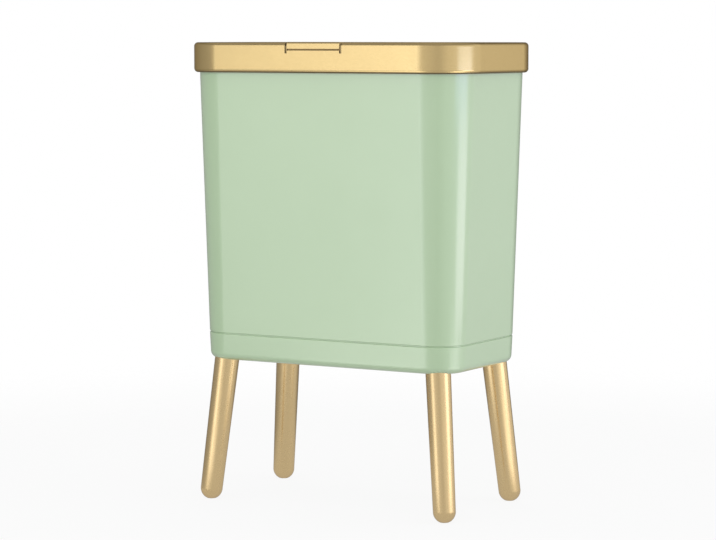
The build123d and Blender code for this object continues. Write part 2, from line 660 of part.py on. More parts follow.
def make_lid_catch():
    low = LID_BOTTOM - CATCH_FLANGE
    plate_back = CATCH_Y + CATCH_PLATE_DEPTH
    catch = wide_block(CATCH_PLATE_WIDTH / 2, CATCH_Y, plate_back, low, LID_BOTTOM)
    catch += wide_block(CATCH_WIDTH / 2, CATCH_Y, CATCH_BACK, CATCH_BOTTOM, LID_BOTTOM)
    profile = Polyline(
        (CATCH_BACK - CUT, CATCH_BOTTOM),
        (CATCH_BACK, CATCH_BOTTOM),
        (NOSE_TIP, CATCH_NOSE_TOP - CATCH_NOSE_TALL / 3),
        (NOSE_TIP, CATCH_NOSE_TOP),
        (CATCH_BACK - CUT, CATCH_NOSE_TOP),
        close=True,
    )
    face = make_face(Plane.YZ * profile)
    catch += Pos(-CATCH_WIDTH / 2, 0, 0) * extrude(face, CATCH_WIDTH, dir=(1, 0, 0))
    for x, y in catch_screw_places():
        catch -= flush_hole(x, y, low, LID_BOTTOM + CUT)
    return catch


def make_hinge_pin():
    return rod_x(PIN_RADIUS, WEB_INNER_X - CUT / 2, WEB_OUTER_X + WEB_THICK + CUT / 2, HINGE_Y, HINGE_Z)


def make_lid_spring():
    """A left-hand coil round the right pin: one end down to the ear, the other under the lid."""
    place = Plane(origin=(COIL_START_X, HINGE_Y, HINGE_Z), x_dir=(0, -1, 0), z_dir=(-1, 0, 0)).location
    path = place * Helix(COIL_PITCH, COIL_LENGTH, COIL_RADIUS)
    section = Plane(origin=path @ 0, z_dir=path % 0) * Circle(COIL_WIRE)
    coil = sweep(section, path, is_frenet=True)
    fixed = rod_z(COIL_WIRE, COIL_START_X, HINGE_Y - COIL_RADIUS, ARM_TOP + ARM_TOUCH, HINGE_Z)
    arm_z = HINGE_Z - COIL_RADIUS
    moving = rod_y(COIL_WIRE, COIL_END_X, HINGE_Y - SPRING_ARM, HINGE_Y, arm_z)
    joints = Pos(COIL_START_X, HINGE_Y - COIL_RADIUS, HINGE_Z) * Sphere(COIL_WIRE)
    joints += Pos(COIL_END_X, HINGE_Y, arm_z) * Sphere(COIL_WIRE)
    return coil + fixed + moving + joints


def damper_screw_places():
    z = (ARM_TOP + DECK_WALL_BOTTOM + BOSS_RADIUS) / 2
    middle = DAMPER_X + DAMPER_LENGTH / 2
    return [(middle - DAMPER_FOOT / 4, z), (middle + DAMPER_FOOT / 4, z)]


def make_damper_housing():
    x1 = DAMPER_X + DAMPER_LENGTH
    middle = DAMPER_X + DAMPER_LENGTH / 2
    low = DECK_WALL_BOTTOM + CUT
    foot_start = middle - DAMPER_FOOT / 2
    foot_end = middle + DAMPER_FOOT / 2
    foot = block(foot_start, foot_end, ARM_FRONT, SWING_Y, low, HINGE_Z)
    foot += block(foot_start, foot_end, ARM_FRONT, DECK_FRONT, low, ARM_TOP)
    housing = rod_x(EAR_RADIUS, DAMPER_X, x1, HINGE_Y, HINGE_Z) + foot
    housing -= rod_x(DAMPER_BORE, DAMPER_X - CUT, x1 - DAMPER_END, HINGE_Y, HINGE_Z)
    housing -= rod_x(PIN_RADIUS + PIN_FIT, DAMPER_X, x1 + CUT, HINGE_Y, HINGE_Z)
    for x, z in damper_screw_places():
        housing -= rod_y(SCREW_CLEAR, x, ARM_FRONT - CUT, DECK_FRONT + CUT, z)
    return housing


def damper_key(x0, x1, radius):
    """A round shaft with one flat side, which turns with the lid."""
    shaft = rod_x(radius, x0, x1, HINGE_Y, HINGE_Z)
    flat = HINGE_Z + radius - PIN_RADIUS + DAMPER_FLAT
    return shaft - block(x0, x1, HINGE_Y - radius, HINGE_Y + radius, flat, HINGE_Z + 2 * radius)


def make_damper_rotor():
    x1 = DAMPER_X + DAMPER_LENGTH
    drum_end = x1 - DAMPER_END - LATCH_GAP
    web_x = x1 + DAMPER_END
    rotor = rod_x(DAMPER_BORE - DAMPER_FIT, DAMPER_X + LATCH_GAP, drum_end, HINGE_Y, HINGE_Z)
    rotor += rod_x(PIN_RADIUS, drum_end, web_x, HINGE_Y, HINGE_Z)
    return rotor + damper_key(web_x, web_x + DAMPER_WEB, PIN_RADIUS)


def make_damper_screws():
    reach = DECK_FRONT + LID_WALL + SCREW_BITE - 2 * CUT
    screws = []
    for x, z in damper_screw_places():
        head = rod_y(SCREW_HEAD, x, ARM_FRONT - SCREW_HEAD_TALL, ARM_FRONT, z)
        screws.append(head + rod_y(SCREW_RADIUS, x, ARM_FRONT, reach, z))
    return screws


def make_release_button():
    top_back = FRONT + BUTTON_TOP
    button = wide_block(BUTTON_HALF, FRONT, FRONT + BUTTON_WALL, BUTTON_BOTTOM, HEIGHT)
    button += wide_block(BUTTON_HALF, FRONT, top_back, HEIGHT - BAND_THICK + LID_RECESS, HEIGHT)
    edges = button.edges().filter_by(Axis.X).group_by(Axis.Z)[-1]
    button = fillet(edges, LID_EDGE)
    flange_low = FLANGE_TOP + FLANGE_GAP
    button += wide_block(BUTTON_HALF - CUT, FLANGE_Y, FLANGE_BACK, flange_low, HEIGHT - CUT)
    button += wide_block(BUTTON_HALF - CUT, FRONT + CUT, FLANGE_BACK, BUTTON_BOTTOM, HEIGHT - CUT)
    guide_in = BUTTON_HALF + FLANGE_GAP
    guide_out = guide_in + GUIDE_THICK
    guide_low = SLOT_BOTTOM + FLANGE_GAP
    guide_high = BAND_UNDER - FLANGE_GAP
    guide = block(guide_in, guide_out, FRONT + GUIDE_RECESS, FLANGE_BACK, guide_low, guide_high)
    guide += block(BUTTON_HALF - 2 * CUT, guide_out, FLANGE_Y, FLANGE_BACK, guide_low, guide_high)
    button += both_sides(guide)
    peg_end = FLANGE_BACK + PEG_LENGTH
    peg = rod_y(PEG_RADIUS, BUTTON_SPRING_X, FLANGE_BACK - CUT, peg_end, button_spring_z())
    button += both_sides(peg)
    plate_half = LATCH_WIDTH / 2 + THREAD_GAP
    plate_high = LATCH_HIGH + THREAD_GAP
    return button - wide_block(plate_half, FLANGE_Y - CUT, FLANGE_BACK + CUT, flange_low - CUT, plate_high)


def button_spring_z():
    return (FLANGE_TOP + BAND_UNDER) / 2


def make_button_spring(side):
    """A small compression coil along Y between the button's flange and the seat ring."""
    length = SEAT_FACE_Y - FLANGE_BACK - 2 * (BUTTON_WIRE + ARM_TOUCH)
    start_y = FLANGE_BACK + BUTTON_WIRE + ARM_TOUCH
    origin = (side * BUTTON_SPRING_X, start_y, button_spring_z())
    place = Plane(origin=origin, x_dir=(1, 0, 0), z_dir=(0, 1, 0)).location
    path = place * Helix(length / BUTTON_TURNS, length, BUTTON_COIL)
    section = Plane(origin=path @ 0, z_dir=path % 0) * Circle(BUTTON_WIRE)
    return sweep(section, path, is_frenet=True)


def make_latch_plate():
    plate = wide_block(LATCH_WIDTH / 2, FLANGE_Y, BAR_BACK, LATCH_LOW, LATCH_HIGH)
    return plate - wide_block(LATCH_WINDOW / 2, WINDOW_Y, BAR_Y, LATCH_LOW - CUT, LATCH_HIGH + CUT)


def make_latch_cover():
    front = SEAT_INSIDE_Y + SEAT_FIT
    high = LEDGE_BOTTOM - SEAT_FIT
    cover = wide_block(COVER_HALF, front, COVER_BACK, COVER_BOTTOM, high)
    inside = COVER_HALF - COVER_WALL
    cover -= wide_block(inside, front - CUT, COVER_BACK - COVER_WALL, COVER_FLOOR, high + CUT)
    ear_back = FRONT + LEDGE_INNER
    ear_low = COVER_EAR_TOP - COVER_WALL
    ear = block(inside + CUT / 2, COVER_HALF + COVER_EAR, front, ear_back, ear_low, COVER_EAR_TOP)
    cover += both_sides(ear)
    for x, y in cover_screw_places():
        cover -= rod_z(SCREW_CLEAR, x, y, ear_low - CUT, COVER_EAR_TOP + CUT)
    return cover


def make_latch_cover_screws():
    seat = COVER_EAR_TOP - COVER_WALL
    return [screw_up(x, y, seat, COVER_WALL + SCREW_BITE - CUT) for x, y in cover_screw_places()]


def make_lid_pads():
    pads = []
    for x, y in pad_places():
        pad = rod_z(PAD_RADIUS, x, y, LEDGE_TOP, LID_BOTTOM)
        pads.append(pad + rod_z(PAD_PEG, x, y, LEDGE_BOTTOM, LEDGE_TOP))
    return pads


def group(shapes):
    return Compound(children=[solid for shape in shapes for solid in shape.solids()])


def save(name, shape):
    export_step(shape, f"parts/{name}.step")


os.makedirs("parts", exist_ok=True)
save("bucket", make_bucket())
save("base_pan", make_base_pan())
save("base_screws", group(make_base_screws()))
for corner, side_x, side_y in CORNERS:
    save(f"leg_{corner}", make_leg(side_x, side_y))
save("leg_plugs", group(make_leg_plugs()))
save("leg_studs", group(make_leg_studs()))
save("leg_inserts", group(make_leg_inserts()))
save("rim_frame", make_rim_frame())
save("seat_ring", make_seat_ring())
save("rim_screws", group(make_rim_screws()))
save("hinge_deck", make_hinge_deck())
save("deck_screws", group(make_deck_screws()))
save("lid_panel", make_lid_panel())
save("lid_underside", make_lid_underside())
save("lid_screws", group(make_lid_screws()))
save("lid_catch", make_lid_catch())
save("catch_screws", group(make_catch_screws()))
save("hinge_pin_right", make_hinge_pin())
save("hinge_pin_left", mirror(make_hinge_pin(), about=Plane.YZ))
save("lid_spring_right", make_lid_spring())
save("lid_spring_left", mirror(make_lid_spring(), about=Plane.YZ))
save("damper_housing", make_damper_housing())
save("damper_rotor", make_damper_rotor())
save("damper_screws", group(make_damper_screws()))
save("release_button", make_release_button())
save("button_spring_left", make_button_spring(-1))
save("button_spring_right", make_button_spring(1))
save("latch_plate", make_latch_plate())
save("latch_cover", make_latch_cover())
save("latch_cover_screws", group(make_latch_cover_screws()))
save("lid_pads", group(make_lid_pads()))
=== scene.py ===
import json
import math

import bmesh
import bpy
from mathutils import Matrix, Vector


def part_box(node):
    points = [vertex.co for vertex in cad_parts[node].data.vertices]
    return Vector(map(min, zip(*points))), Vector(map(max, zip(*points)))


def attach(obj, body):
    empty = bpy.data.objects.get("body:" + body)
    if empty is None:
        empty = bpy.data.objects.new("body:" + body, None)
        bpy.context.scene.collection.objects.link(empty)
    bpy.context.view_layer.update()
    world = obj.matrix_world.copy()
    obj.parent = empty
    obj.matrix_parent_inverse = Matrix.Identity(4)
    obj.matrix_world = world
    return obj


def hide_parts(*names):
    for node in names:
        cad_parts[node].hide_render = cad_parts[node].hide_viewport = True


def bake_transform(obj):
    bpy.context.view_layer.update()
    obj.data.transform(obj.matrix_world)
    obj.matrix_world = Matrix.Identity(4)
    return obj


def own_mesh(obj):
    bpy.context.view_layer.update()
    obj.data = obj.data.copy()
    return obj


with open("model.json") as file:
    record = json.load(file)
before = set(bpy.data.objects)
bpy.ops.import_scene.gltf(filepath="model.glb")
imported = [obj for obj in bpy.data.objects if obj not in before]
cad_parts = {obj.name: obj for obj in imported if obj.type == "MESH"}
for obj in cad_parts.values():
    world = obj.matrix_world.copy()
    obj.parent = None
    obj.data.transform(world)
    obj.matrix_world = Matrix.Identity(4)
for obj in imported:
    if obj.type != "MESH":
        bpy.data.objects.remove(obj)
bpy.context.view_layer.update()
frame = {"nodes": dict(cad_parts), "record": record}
MM = 0.001


def box_mm(node):
    """A CAD node's lowest and highest corner, in millimetres."""
    low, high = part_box(node)
    return Vector(low) / MM, Vector(high) / MM


# Sizes are in millimetres as far as the materials.
# Read from the frame
RIM_LOW, RIM_HIGH = box_mm("rim_frame")
BASE_LOW, BASE_HIGH = box_mm("base_pan")
DECK_LOW, DECK_HIGH = box_mm("hinge_deck")
BUTTON_LOW, BUTTON_HIGH = box_mm("release_button")
HALF_X = RIM_HIGH.x
HALF_Y = RIM_HIGH.y
FRONT = -HALF_Y
RIM_TOP = RIM_HIGH.z
RIM_BOTTOM = RIM_LOW.z
BUCKET_TOP = box_mm("bucket")[1].z
BASE_BOTTOM = BASE_LOW.z
BASE_TOP = BASE_HIGH.z
HEIGHT = BUTTON_HIGH.z
LID_HIGH = box_mm("lid_panel")[1]
LID_TOP = LID_HIGH.z
LID_BOTTOM = box_mm("lid_pads")[1].z
NOSE_END = LID_HIGH.y
PIN_END = box_mm("hinge_pin_right")[0].x
DAMPER_END = box_mm("damper_housing")[1].x
SEAT_TOP = box_mm("seat_ring")[1].z
PLATE_HIGH = box_mm("latch_plate")[1]

# Rim's outline, and how the body stands in from it
CORNER = 50.5
CORNER_STEPS = 24
OVERHANG = 6.3
TAPER = 0.033

# Bucket and base
SEAM_GAP = 1.0
SEAM_EDGE = 1.0
SEAM_STEP = 1.4
BUCKET_WALL = 2.2
BUCKET_FLOOR = 2.5
BUCKET_BOTTOM = BASE_TOP + SEAM_GAP
FLOOR_EDGE = 6.0
SPIGOT_TALL = 6.0
SPIGOT_WALL = 2.0
SPIGOT_GAP = 0.3
BASE_WALL = 2.4
BASE_EDGE = 8.0
LEAST_EDGE = 0.2
SCREW_SINK = 6.0
SCREW_RECESS = 4.0
BASE_SCREW_HOLE = 2.1
HOLE_STEP = 0.3
BASE_BOSS_RADIUS = 5.5
BASE_BOSS_TALL = 16.0
BASE_BOSS_TOP = BASE_BOTTOM + BASE_WALL + BASE_BOSS_TALL

# Legs and the base's sockets for them
LEG_TOP_RADIUS = 13.45
LEG_WALL = 1.5
LEG_EDGE = 0.6
LEAST_RADIUS = 0.02
LEG_ROWS = 8
LEG_SIDES = 96
FOOT_RADIUS = 12.05
FOOT_FLAT = 5.0
SPLAY_X = 13.8
SPLAY_Y = 11.2
SOCKET_DEPTH = 9.0
SOCKET_GAP = 0.3
SOCKET_RADIUS = LEG_TOP_RADIUS + SOCKET_GAP / 2
SOCKET_SUNK = 0.8
INSERT_RADIUS = 5.6
INSERT_LENGTH = 13.0
GROUND_REACH = 300.0
GROUND_DEPTH = 30.0

# Gold frame, with the notch for the button and its slots
RIM_EDGE = 4.2
SKIRT_WALL = 3.2
BAND_WIDTH = 12.5
BAND_THICK = 3.0
BAND_EDGE = 0.5
BAND_UNDER = RIM_TOP - BAND_THICK
BOSS_RADIUS = 3.1
PILOT_RADIUS = 1.25
NOTCH_HALF = 34.2
NOTCH_DEPTH = 10.4
SLOT_WIDTH = 1.6
SLOT_DROP = 3.4
SLOT_EASE = 0.5

# Button and its carrier
BUTTON_FACE = 7.7
BUTTON_GAP = 0.9
BUTTON_EDGE = 2.4
BUTTON_WALL = 2.8
BUTTON_TOP = 8.0
BUTTON_CAP = 2.5
BUTTON_HALF = NOTCH_HALF - SLOT_WIDTH
BUTTON_BOTTOM = HEIGHT - BUTTON_FACE + SLOT_EASE
TONGUE_TOP = HEIGHT - BUTTON_FACE - BUTTON_GAP - SLOT_EASE
SLOT_BOTTOM = TONGUE_TOP - SLOT_DROP + SLOT_EASE
CARRIER_INSET = 1.0
CARRIER_HALF = BUTTON_HALF - CARRIER_INSET
FLANGE_GAP = 0.3
FLANGE_THICK = 1.8
FLANGE_Y = FRONT + SKIRT_WALL + FLANGE_GAP
FLANGE_BACK = FLANGE_Y + FLANGE_THICK
GUIDE_THICK = 1.0
GUIDE_RECESS = 1.0
GUIDE_X = BUTTON_HALF + FLANGE_GAP
PEG_RADIUS = 1.4
PEG_LENGTH = 1.2

# Lid, hinge and deck
LID_INSET = 13.7
LID_WALL = 2.2
LID_EDGE = 1.0
LID_PLATE = 2.0
LID_INSIDE = LID_TOP - LID_WALL
NOSE_RADIUS = 7.0
NOSE_GAP = 1.0
HINGE_Y = NOSE_END - NOSE_RADIUS
HINGE_Z = LID_TOP - NOSE_RADIUS
PIN_HOLE = 2.05
WEB_RADIUS = 4.35
WEB_THICK = 3.0
WEB_GAP = 1.5
DAMPER_WEB = 4.0
DAMPER_GAP = 2.0
DECK_INSET = 13.1
DECK_WALL_INSET = 23.2
DECK_WALL_BOTTOM = DECK_LOW.z
DECK_FRONT = NOSE_END + NOSE_GAP
LEDGE_DROP = 8.1
LEDGE_TOP = DECK_HIGH.z - LEDGE_DROP
EAR_RADIUS = 4.4
EAR_NECK = 4.0
EAR_THICK = 4.0
EAR_INSET = 17.55
EAR_X = HALF_X - LID_INSET - EAR_INSET
ARM_GAP = 0.6
ARM_TALL = 3.4
ARM_TOP = HINGE_Z - NOSE_RADIUS - ARM_GAP
SWING_GAP = 0.5
SWING_Y = HINGE_Y - (HINGE_Z - LID_BOTTOM) - SWING_GAP
ARM_FRONT = SWING_Y - EAR_NECK

# Springs
COIL_STEPS = 24
WIRE_SIDES = 12
LID_COIL = 3.3
LID_COIL_WIRE = 0.45
LID_COIL_TURNS = 7.75
LID_COIL_ARM = 16.0
ARM_TOUCH = 0.05
BUTTON_COIL = 2.1
BUTTON_COIL_WIRE = 0.25
BUTTON_COIL_TURNS = 5.0

# Screws
SCREW_SIDES = 24
SCREW_HEAD = 2.3
SCREW_RADIUS = 1.2
HEAD_CHAMFER = 0.1
THREAD_PITCH = 0.9
LEAST_TURNS = 4
THREAD_END = 0.6
POINT_TALL = 0.5

# Screws: shares of the head's radius
SHANK = SCREW_RADIUS / SCREW_HEAD
HEAD_TALL = 0.7
CROSS_DEEP = 0.55
CROSS_LONG = 0.6
CROSS_WIDE = 0.13
# Shares of the head's radius and height
PAN_HEAD = ((0.62, 0.0), (0.86, 0.12), (1.0, 0.45), (1.0, 1.0))
# Shares of the shank's radius, and of one turn's height
THREAD_ROOT = 0.86
THREAD = ((1.0, 0.1), (1.0, 0.35), (THREAD_ROOT, 0.6), (THREAD_ROOT, 0.8))
POINT_RADIUS = 0.5

# How far a tool goes past a face, stands clear of the object, or sinks a boss into a wall.
# A hair or a sliver keeps two faces from lying in one plane.
PAST = 1.0
CLEAR = 5.0
SUNK = 0.5
HAIR = 0.05
SLIVER = 0.01

# Where a second finish starts (on the rim, a dark brown that paints shade): the part of a face's
# normal along Z or Y, and distances
LEVEL = 0.999
DOWNWARD = -0.62
UPWARD = 0.9
ASLANT = 0.5
UNDER_EDGE = 0.5
SKIRT_EDGE = 0.4
INSIDE_EDGE = 0.2
CARRIER_EDGE = 0.1
CAP_FRONT = 0.7
CAP_SIDE = 1.2

# Mesh helpers: distances in metres, angles in degrees
MERGE = 1e-6
TOOL_MERGE = 1e-7
FLAT_ANGLE = 0.1
SHARP_ANGLE = 35.0
FACE_WEIGHT = 80
ROD_SIDES = 48


def add_mesh(name, verts, faces):
    mesh = bpy.data.meshes.new(name)
    mesh.from_pydata([Vector(v) * MM for v in verts], [], faces)
    return add_object(name, mesh)


def add_object(name, data):
    obj = bpy.data.objects.new(name, data)
    bpy.context.scene.collection.objects.link(obj)
    return obj


def delete(obj):
    """Removes an object and its mesh."""
    mesh = obj.data
    bpy.data.objects.remove(obj)
    bpy.data.meshes.remove(mesh)


def outline(inset, z):
    """Points round the rim's outline, drawn in by an inset, anticlockwise from above."""
    radius = CORNER - inset
    centres = ((1, 1, 0), (-1, 1, 90), (-1, -1, 180), (1, -1, 270))
    points = []
    for side_x, side_y, start in centres:
        x = side_x * (HALF_X - CORNER)
        y = side_y * (HALF_Y - CORNER)
        for step in range(CORNER_STEPS + 1):
            angle = math.radians(start + 90 * step / CORNER_STEPS)
            points.append((x + radius * math.cos(angle), y + radius * math.sin(angle), z))
    return points


def arc(across, up, radius, start, end, steps=6):
    """Points of a profile on an arc about a middle, from one angle in degrees to another."""
    points = []
    for step in range(steps + 1):
        angle = math.radians(start + (end - start) * step / steps)
        points.append((across + radius * math.cos(angle), up + radius * math.sin(angle)))
    return points


def side_faces(rows, count, closed=False):
    """Faces between rings of points, and from the last ring to the first where they close."""
    faces = []
    for row in range(rows if closed else rows - 1):
        low = row * count
        high = (row + 1) % rows * count
        for i in range(count):
            j = (i + 1) % count
            faces.append((low + i, low + j, high + j, high + i))
    return faces


def end_faces(rows, count):
    """A flat face across the first and the last ring of points."""
    return [tuple(reversed(range(count))), tuple(range((rows - 1) * count, rows * count))]


def sweep(name, profile, closed=False):
    """Carries a profile of inset and height round the outline."""
    verts = [point for inset, z in profile for point in outline(inset, z)]
    rows = len(profile)
    count = len(verts) // rows
    ends = [] if closed else end_faces(rows, count)
    return add_mesh(name, verts, side_faces(rows, count, closed) + ends)


def turn(name, profile, origin, up, steps=64):
    """Turns a profile of radius and height about an axis."""
    turned = Vector((0, 0, 1)).rotation_difference(Vector(up)).to_matrix()
    verts = []
    for radius, height in profile:
        for step in range(steps):
            angle = 2 * math.pi * step / steps
            point = Vector((radius * math.cos(angle), radius * math.sin(angle), height))
            verts.append(Vector(origin) + turned @ point)
    rows = len(profile)
    return add_mesh(name, verts, side_faces(rows, steps) + end_faces(rows, steps))


def brick(x0, x1, y0, y1, z0, z1):
    corners = ((x0, y0), (x1, y0), (x1, y1), (x0, y1))
    verts = [(x, y, z) for z in (z0, z1) for x, y in corners]
    faces = [(3, 2, 1, 0), (4, 5, 6, 7), (0, 1, 5, 4), (1, 2, 6, 5), (2, 3, 7, 6), (3, 0, 4, 7)]
    return add_mesh("tool", verts, faces)


def rod(radius, x, y, z0, z1):
    return turn("tool", [(radius, z0), (radius, z1)], (x, y, 0), (0, 0, 1), ROD_SIDES)


def rod_x(radius, x0, x1, y, z):
    return turn("tool", [(radius, x0), (radius, x1)], (0, y, z), (1, 0, 0), ROD_SIDES)


def rod_y(radius, x, y0, y1, z):
    return turn("tool", [(radius, y0), (radius, y1)], (x, 0, z), (0, 1, 0), ROD_SIDES)


def wire(name, path, radius):
    """A round wire along a line of points, with flat ends."""
    points = [Vector(point) for point in path]
    before = [2 * points[0] - points[1]] + points[:-1]
    after = points[1:] + [2 * points[-1] - points[-2]]
    side = (points[1] - points[0]).orthogonal()
    verts = []
    for point, last, following in zip(points, before, after):
        along = (following - last).normalized()
        side = (side - along * side.dot(along)).normalized()
        across = along.cross(side)
        for step in range(WIRE_SIDES):
            angle = 2 * math.pi * step / WIRE_SIDES
            verts.append(point + radius * (math.cos(angle) * side + math.sin(angle) * across))
    rows = len(points)
    return add_mesh(name, verts, end_faces(rows, WIRE_SIDES) + side_faces(rows, WIRE_SIDES))


def coil(turns, place):
    """Points of a coil; place gives the point for an angle and a share of the length."""
    steps = round(turns * COIL_STEPS)
    return [place(2 * math.pi * turns * step / steps, step / steps) for step in range(steps + 1)]


def slice_x(name, points, x0, x1):
    """A solid with one outline in Y and Z all along X."""
    verts = [(x, y, z) for x in (x0, x1) for y, z in points]
    count = len(points)
    return add_mesh(name, verts, end_faces(2, count) + side_faces(2, count))


def span(side, near, far):
    """The lower and the higher X of a stretch on one side of the middle."""
    return sorted((side * near, side * far))


def islands(node):
    """The lowest and highest corner of each solid of a CAD node, from left to right."""
    work = bmesh.new()
    work.from_mesh(frame["nodes"][node].data)
    bmesh.ops.remove_doubles(work, verts=work.verts, dist=MERGE)
    left = set(work.verts)
    boxes = []
    while left:
        group = [left.pop()]
        for vert in group:
            for edge in vert.link_edges:
                other = edge.other_vert(vert)
                if other in left:
                    left.remove(other)
                    group.append(other)
        low = Vector([min(v.co[k] for v in group) for k in range(3)]) / MM
        high = Vector([max(v.co[k] for v in group) for k in range(3)]) / MM
        boxes.append((low, high))
    work.free()
    return sorted(boxes, key=lambda b: (round(b[0].x), round(b[0].y)))


def screw_places(node):
    """Where the upright screws of a node stand."""
    return [((low.x + high.x) / 2, (low.y + high.y) / 2) for low, high in islands(node)]


def triangulate(mesh):
    work = bmesh.new()
    work.from_mesh(mesh)
    bmesh.ops.remove_doubles(work, verts=work.verts, dist=TOOL_MERGE)
    bmesh.ops.triangulate(work, faces=work.faces)
    work.to_mesh(mesh)
    work.free()


def combine(obj, tool, operation):
    """Cuts or joins a tool, and removes the tool."""
    triangulate(obj.data)
    triangulate(tool.data)
    step = obj.modifiers.new("combine", "BOOLEAN")
    step.object = tool
    step.operation = operation
    step.solver = "EXACT"
    graph = bpy.context.evaluated_depsgraph_get()
    mesh = bpy.data.meshes.new_from_object(obj.evaluated_get(graph))
    obj.modifiers.remove(step)
    old = obj.data
    obj.data = mesh
    mesh.name = obj.name
    bpy.data.meshes.remove(old)
    delete(tool)


def join(name, pieces):
    """Puts several closed shells into one piece."""
    work = bmesh.new()
    for piece in pieces:
        work.from_mesh(piece.data)
        delete(piece)
    mesh = bpy.data.meshes.new(name)
    work.to_mesh(mesh)
    work.free()
    return add_object(name, mesh)


def tidy(obj, bevel=0.0, segments=2, angle=SHARP_ANGLE, merge=True):
    """Points the faces outwards, rounds the sharp edges and smooths the shading."""
    work = bmesh.new()
    work.from_mesh(obj.data)
    bmesh.ops.remove_doubles(work, verts=work.verts, dist=MERGE)
    if merge:
        flat = math.radians(FLAT_ANGLE)
        bmesh.ops.dissolve_limit(work, angle_limit=flat, verts=work.verts, edges=work.edges)
    bmesh.ops.recalc_face_normals(work, faces=work.faces)
    for face in work.faces:
        face.smooth = True
    for edge in work.edges:
        if len(edge.link_faces) == 2 and bevel == 0.0:
            edge.smooth = edge.calc_face_angle() < math.radians(angle)
    work.to_mesh(obj.data)
    work.free()
    if bevel:
        step = obj.modifiers.new("edges", "BEVEL")
        step.width = bevel * MM
        step.segments = segments
        step.limit_method = "ANGLE"
        step.angle_limit = math.radians(angle)
    normals = obj.modifiers.new("shading", "WEIGHTED_NORMAL")
    normals.keep_sharp = True
    normals.weight = FACE_WEIGHT
    return obj


def body_inset(z):
    """How far the tapered body stands in from the rim's outline at a height."""
    return OVERHANG + TAPER * (RIM_BOTTOM - z)


# Materials

# Sockets of a mix node that mixes colours, and where most of a noise's values lie
MIX_FACTOR, MIX_FIRST, MIX_SECOND, MIX_RESULT = 0, 6, 7, 2
NOISE_LOW = 0.3
NOISE_HIGH = 0.7


def set_inputs(tree, made, inputs):
    for key, value in inputs.items():
        if isinstance(value, bpy.types.NodeSocket):
            tree.links.new(value, made.inputs[key])
        else:
            made.inputs[key].default_value = value


def add_node(tree, kind, inputs=None, **settings):
    made = tree.nodes.new(kind)
    for key, value in settings.items():
        setattr(made, key, value)
    set_inputs(tree, made, inputs or {})
    return made


def calculate(tree, operation, first, second):
    inputs = {0: first, 1: second}
    return add_node(tree, "ShaderNodeMath", inputs, operation=operation).outputs[0]


def map_range(tree, value, start, end, low=0.0, high=1.0, kind="LINEAR"):
    """Maps a value from between start and end to between low and high."""
    inputs = {"Value": value, "From Min": start, "From Max": end, "To Min": low, "To Max": high}
    made = add_node(tree, "ShaderNodeMapRange", inputs, interpolation_type=kind)
    return made.outputs["Result"]


def noise(tree, place, scale, detail=2.0):
    inputs = {"Vector": place, "Scale": scale, "Detail": detail}
    return add_node(tree, "ShaderNodeTexNoise", inputs).outputs["Fac"]


def spread(tree, value, low=0.0, high=1.0):
    """Spreads a noise value over a range."""
    return map_range(tree, value, NOISE_LOW, NOISE_HIGH, low, high)


def two_tone(tree, factor, first, second):
    inputs = {MIX_FACTOR: factor, MIX_FIRST: (*first, 1), MIX_SECOND: (*second, 1)}
    return add_node(tree, "ShaderNodeMix", inputs, data_type="RGBA").outputs[MIX_RESULT]


def bump(tree, height, strength, distance, normal=None):
    inputs = {"Height": height, "Strength": strength, "Distance": distance}
    if normal is not None:
        inputs["Normal"] = normal
    return add_node(tree, "ShaderNodeBump", inputs).outputs["Normal"]


def clear_tree(owner):
    owner.use_nodes = True
    owner.node_tree.nodes.clear()
    return owner.node_tree


def start_material(name):
    made = bpy.data.materials.new(name)
    tree = clear_tree(made)
    place = add_node(tree, "ShaderNodeTexCoord").outputs["Object"]
    shader = add_node(tree, "ShaderNodeBsdfPrincipled")
    add_node(tree, "ShaderNodeOutputMaterial", {"Surface": shader.outputs["BSDF"]})
    return made, tree, place, shader


def glossy_plastic(name, first, second):
    """Injection-moulded plastic: an even satin gloss over faint flow marks and a fine grain."""
    made, tree, place, shader = start_material(name)
    tone = spread(tree, noise(tree, place, scale=9.0, detail=3.0))
    waves = noise(tree, place, scale=110.0, detail=1.0)
    peel = bump(tree, waves, strength=0.25, distance=0.00004)
    fine = noise(tree, place, scale=2200.0)
    grain = bump(tree, fine, strength=0.12, distance=0.00002, normal=peel)
    rough = spread(tree, noise(tree, place, scale=40.0, detail=4.0), low=0.32, high=0.38)
    inputs = {
        "Base Color": two_tone(tree, tone, first, second),
        "Roughness": rough,
        "IOR": 1.5,
        "Specular IOR Level": 1.0,
        "Coat Weight": 1.0,
        "Coat Roughness": 0.18,
        "Coat IOR": 1.9,
        "Normal": grain,
    }
    set_inputs(tree, shader, inputs)
    return made


def gold_paint(name, first, second, rough_low, rough_high, lacquer):
    """Satin metallic lacquer with fine flakes."""
    made, tree, place, shader = start_material(name)
    flakes = add_node(tree, "ShaderNodeTexVoronoi", {"Vector": place, "Scale": 2600.0})
    tone = spread(tree, noise(tree, place, scale=900.0))
    flake = bump(tree, flakes.outputs["Distance"], strength=0.012, distance=0.000004)
    waves = noise(tree, place, scale=70.0, detail=1.0)
    peel = bump(tree, waves, strength=0.06, distance=0.00002, normal=flake)
    rough = spread(tree, noise(tree, place, scale=60.0, detail=3.0), rough_low, rough_high)
    inputs = {
        "Base Color": two_tone(tree, tone, first, second),
        "Metallic": 1.0,
        "Roughness": rough,
        "Specular Tint": (0.60, 0.48, 0.30, 1.0),
        "Coat Weight": lacquer,
        "Coat Roughness": 0.16,
        "Coat IOR": 1.6,
        "Normal": peel,
    }
    set_inputs(tree, shader, inputs)
    return made


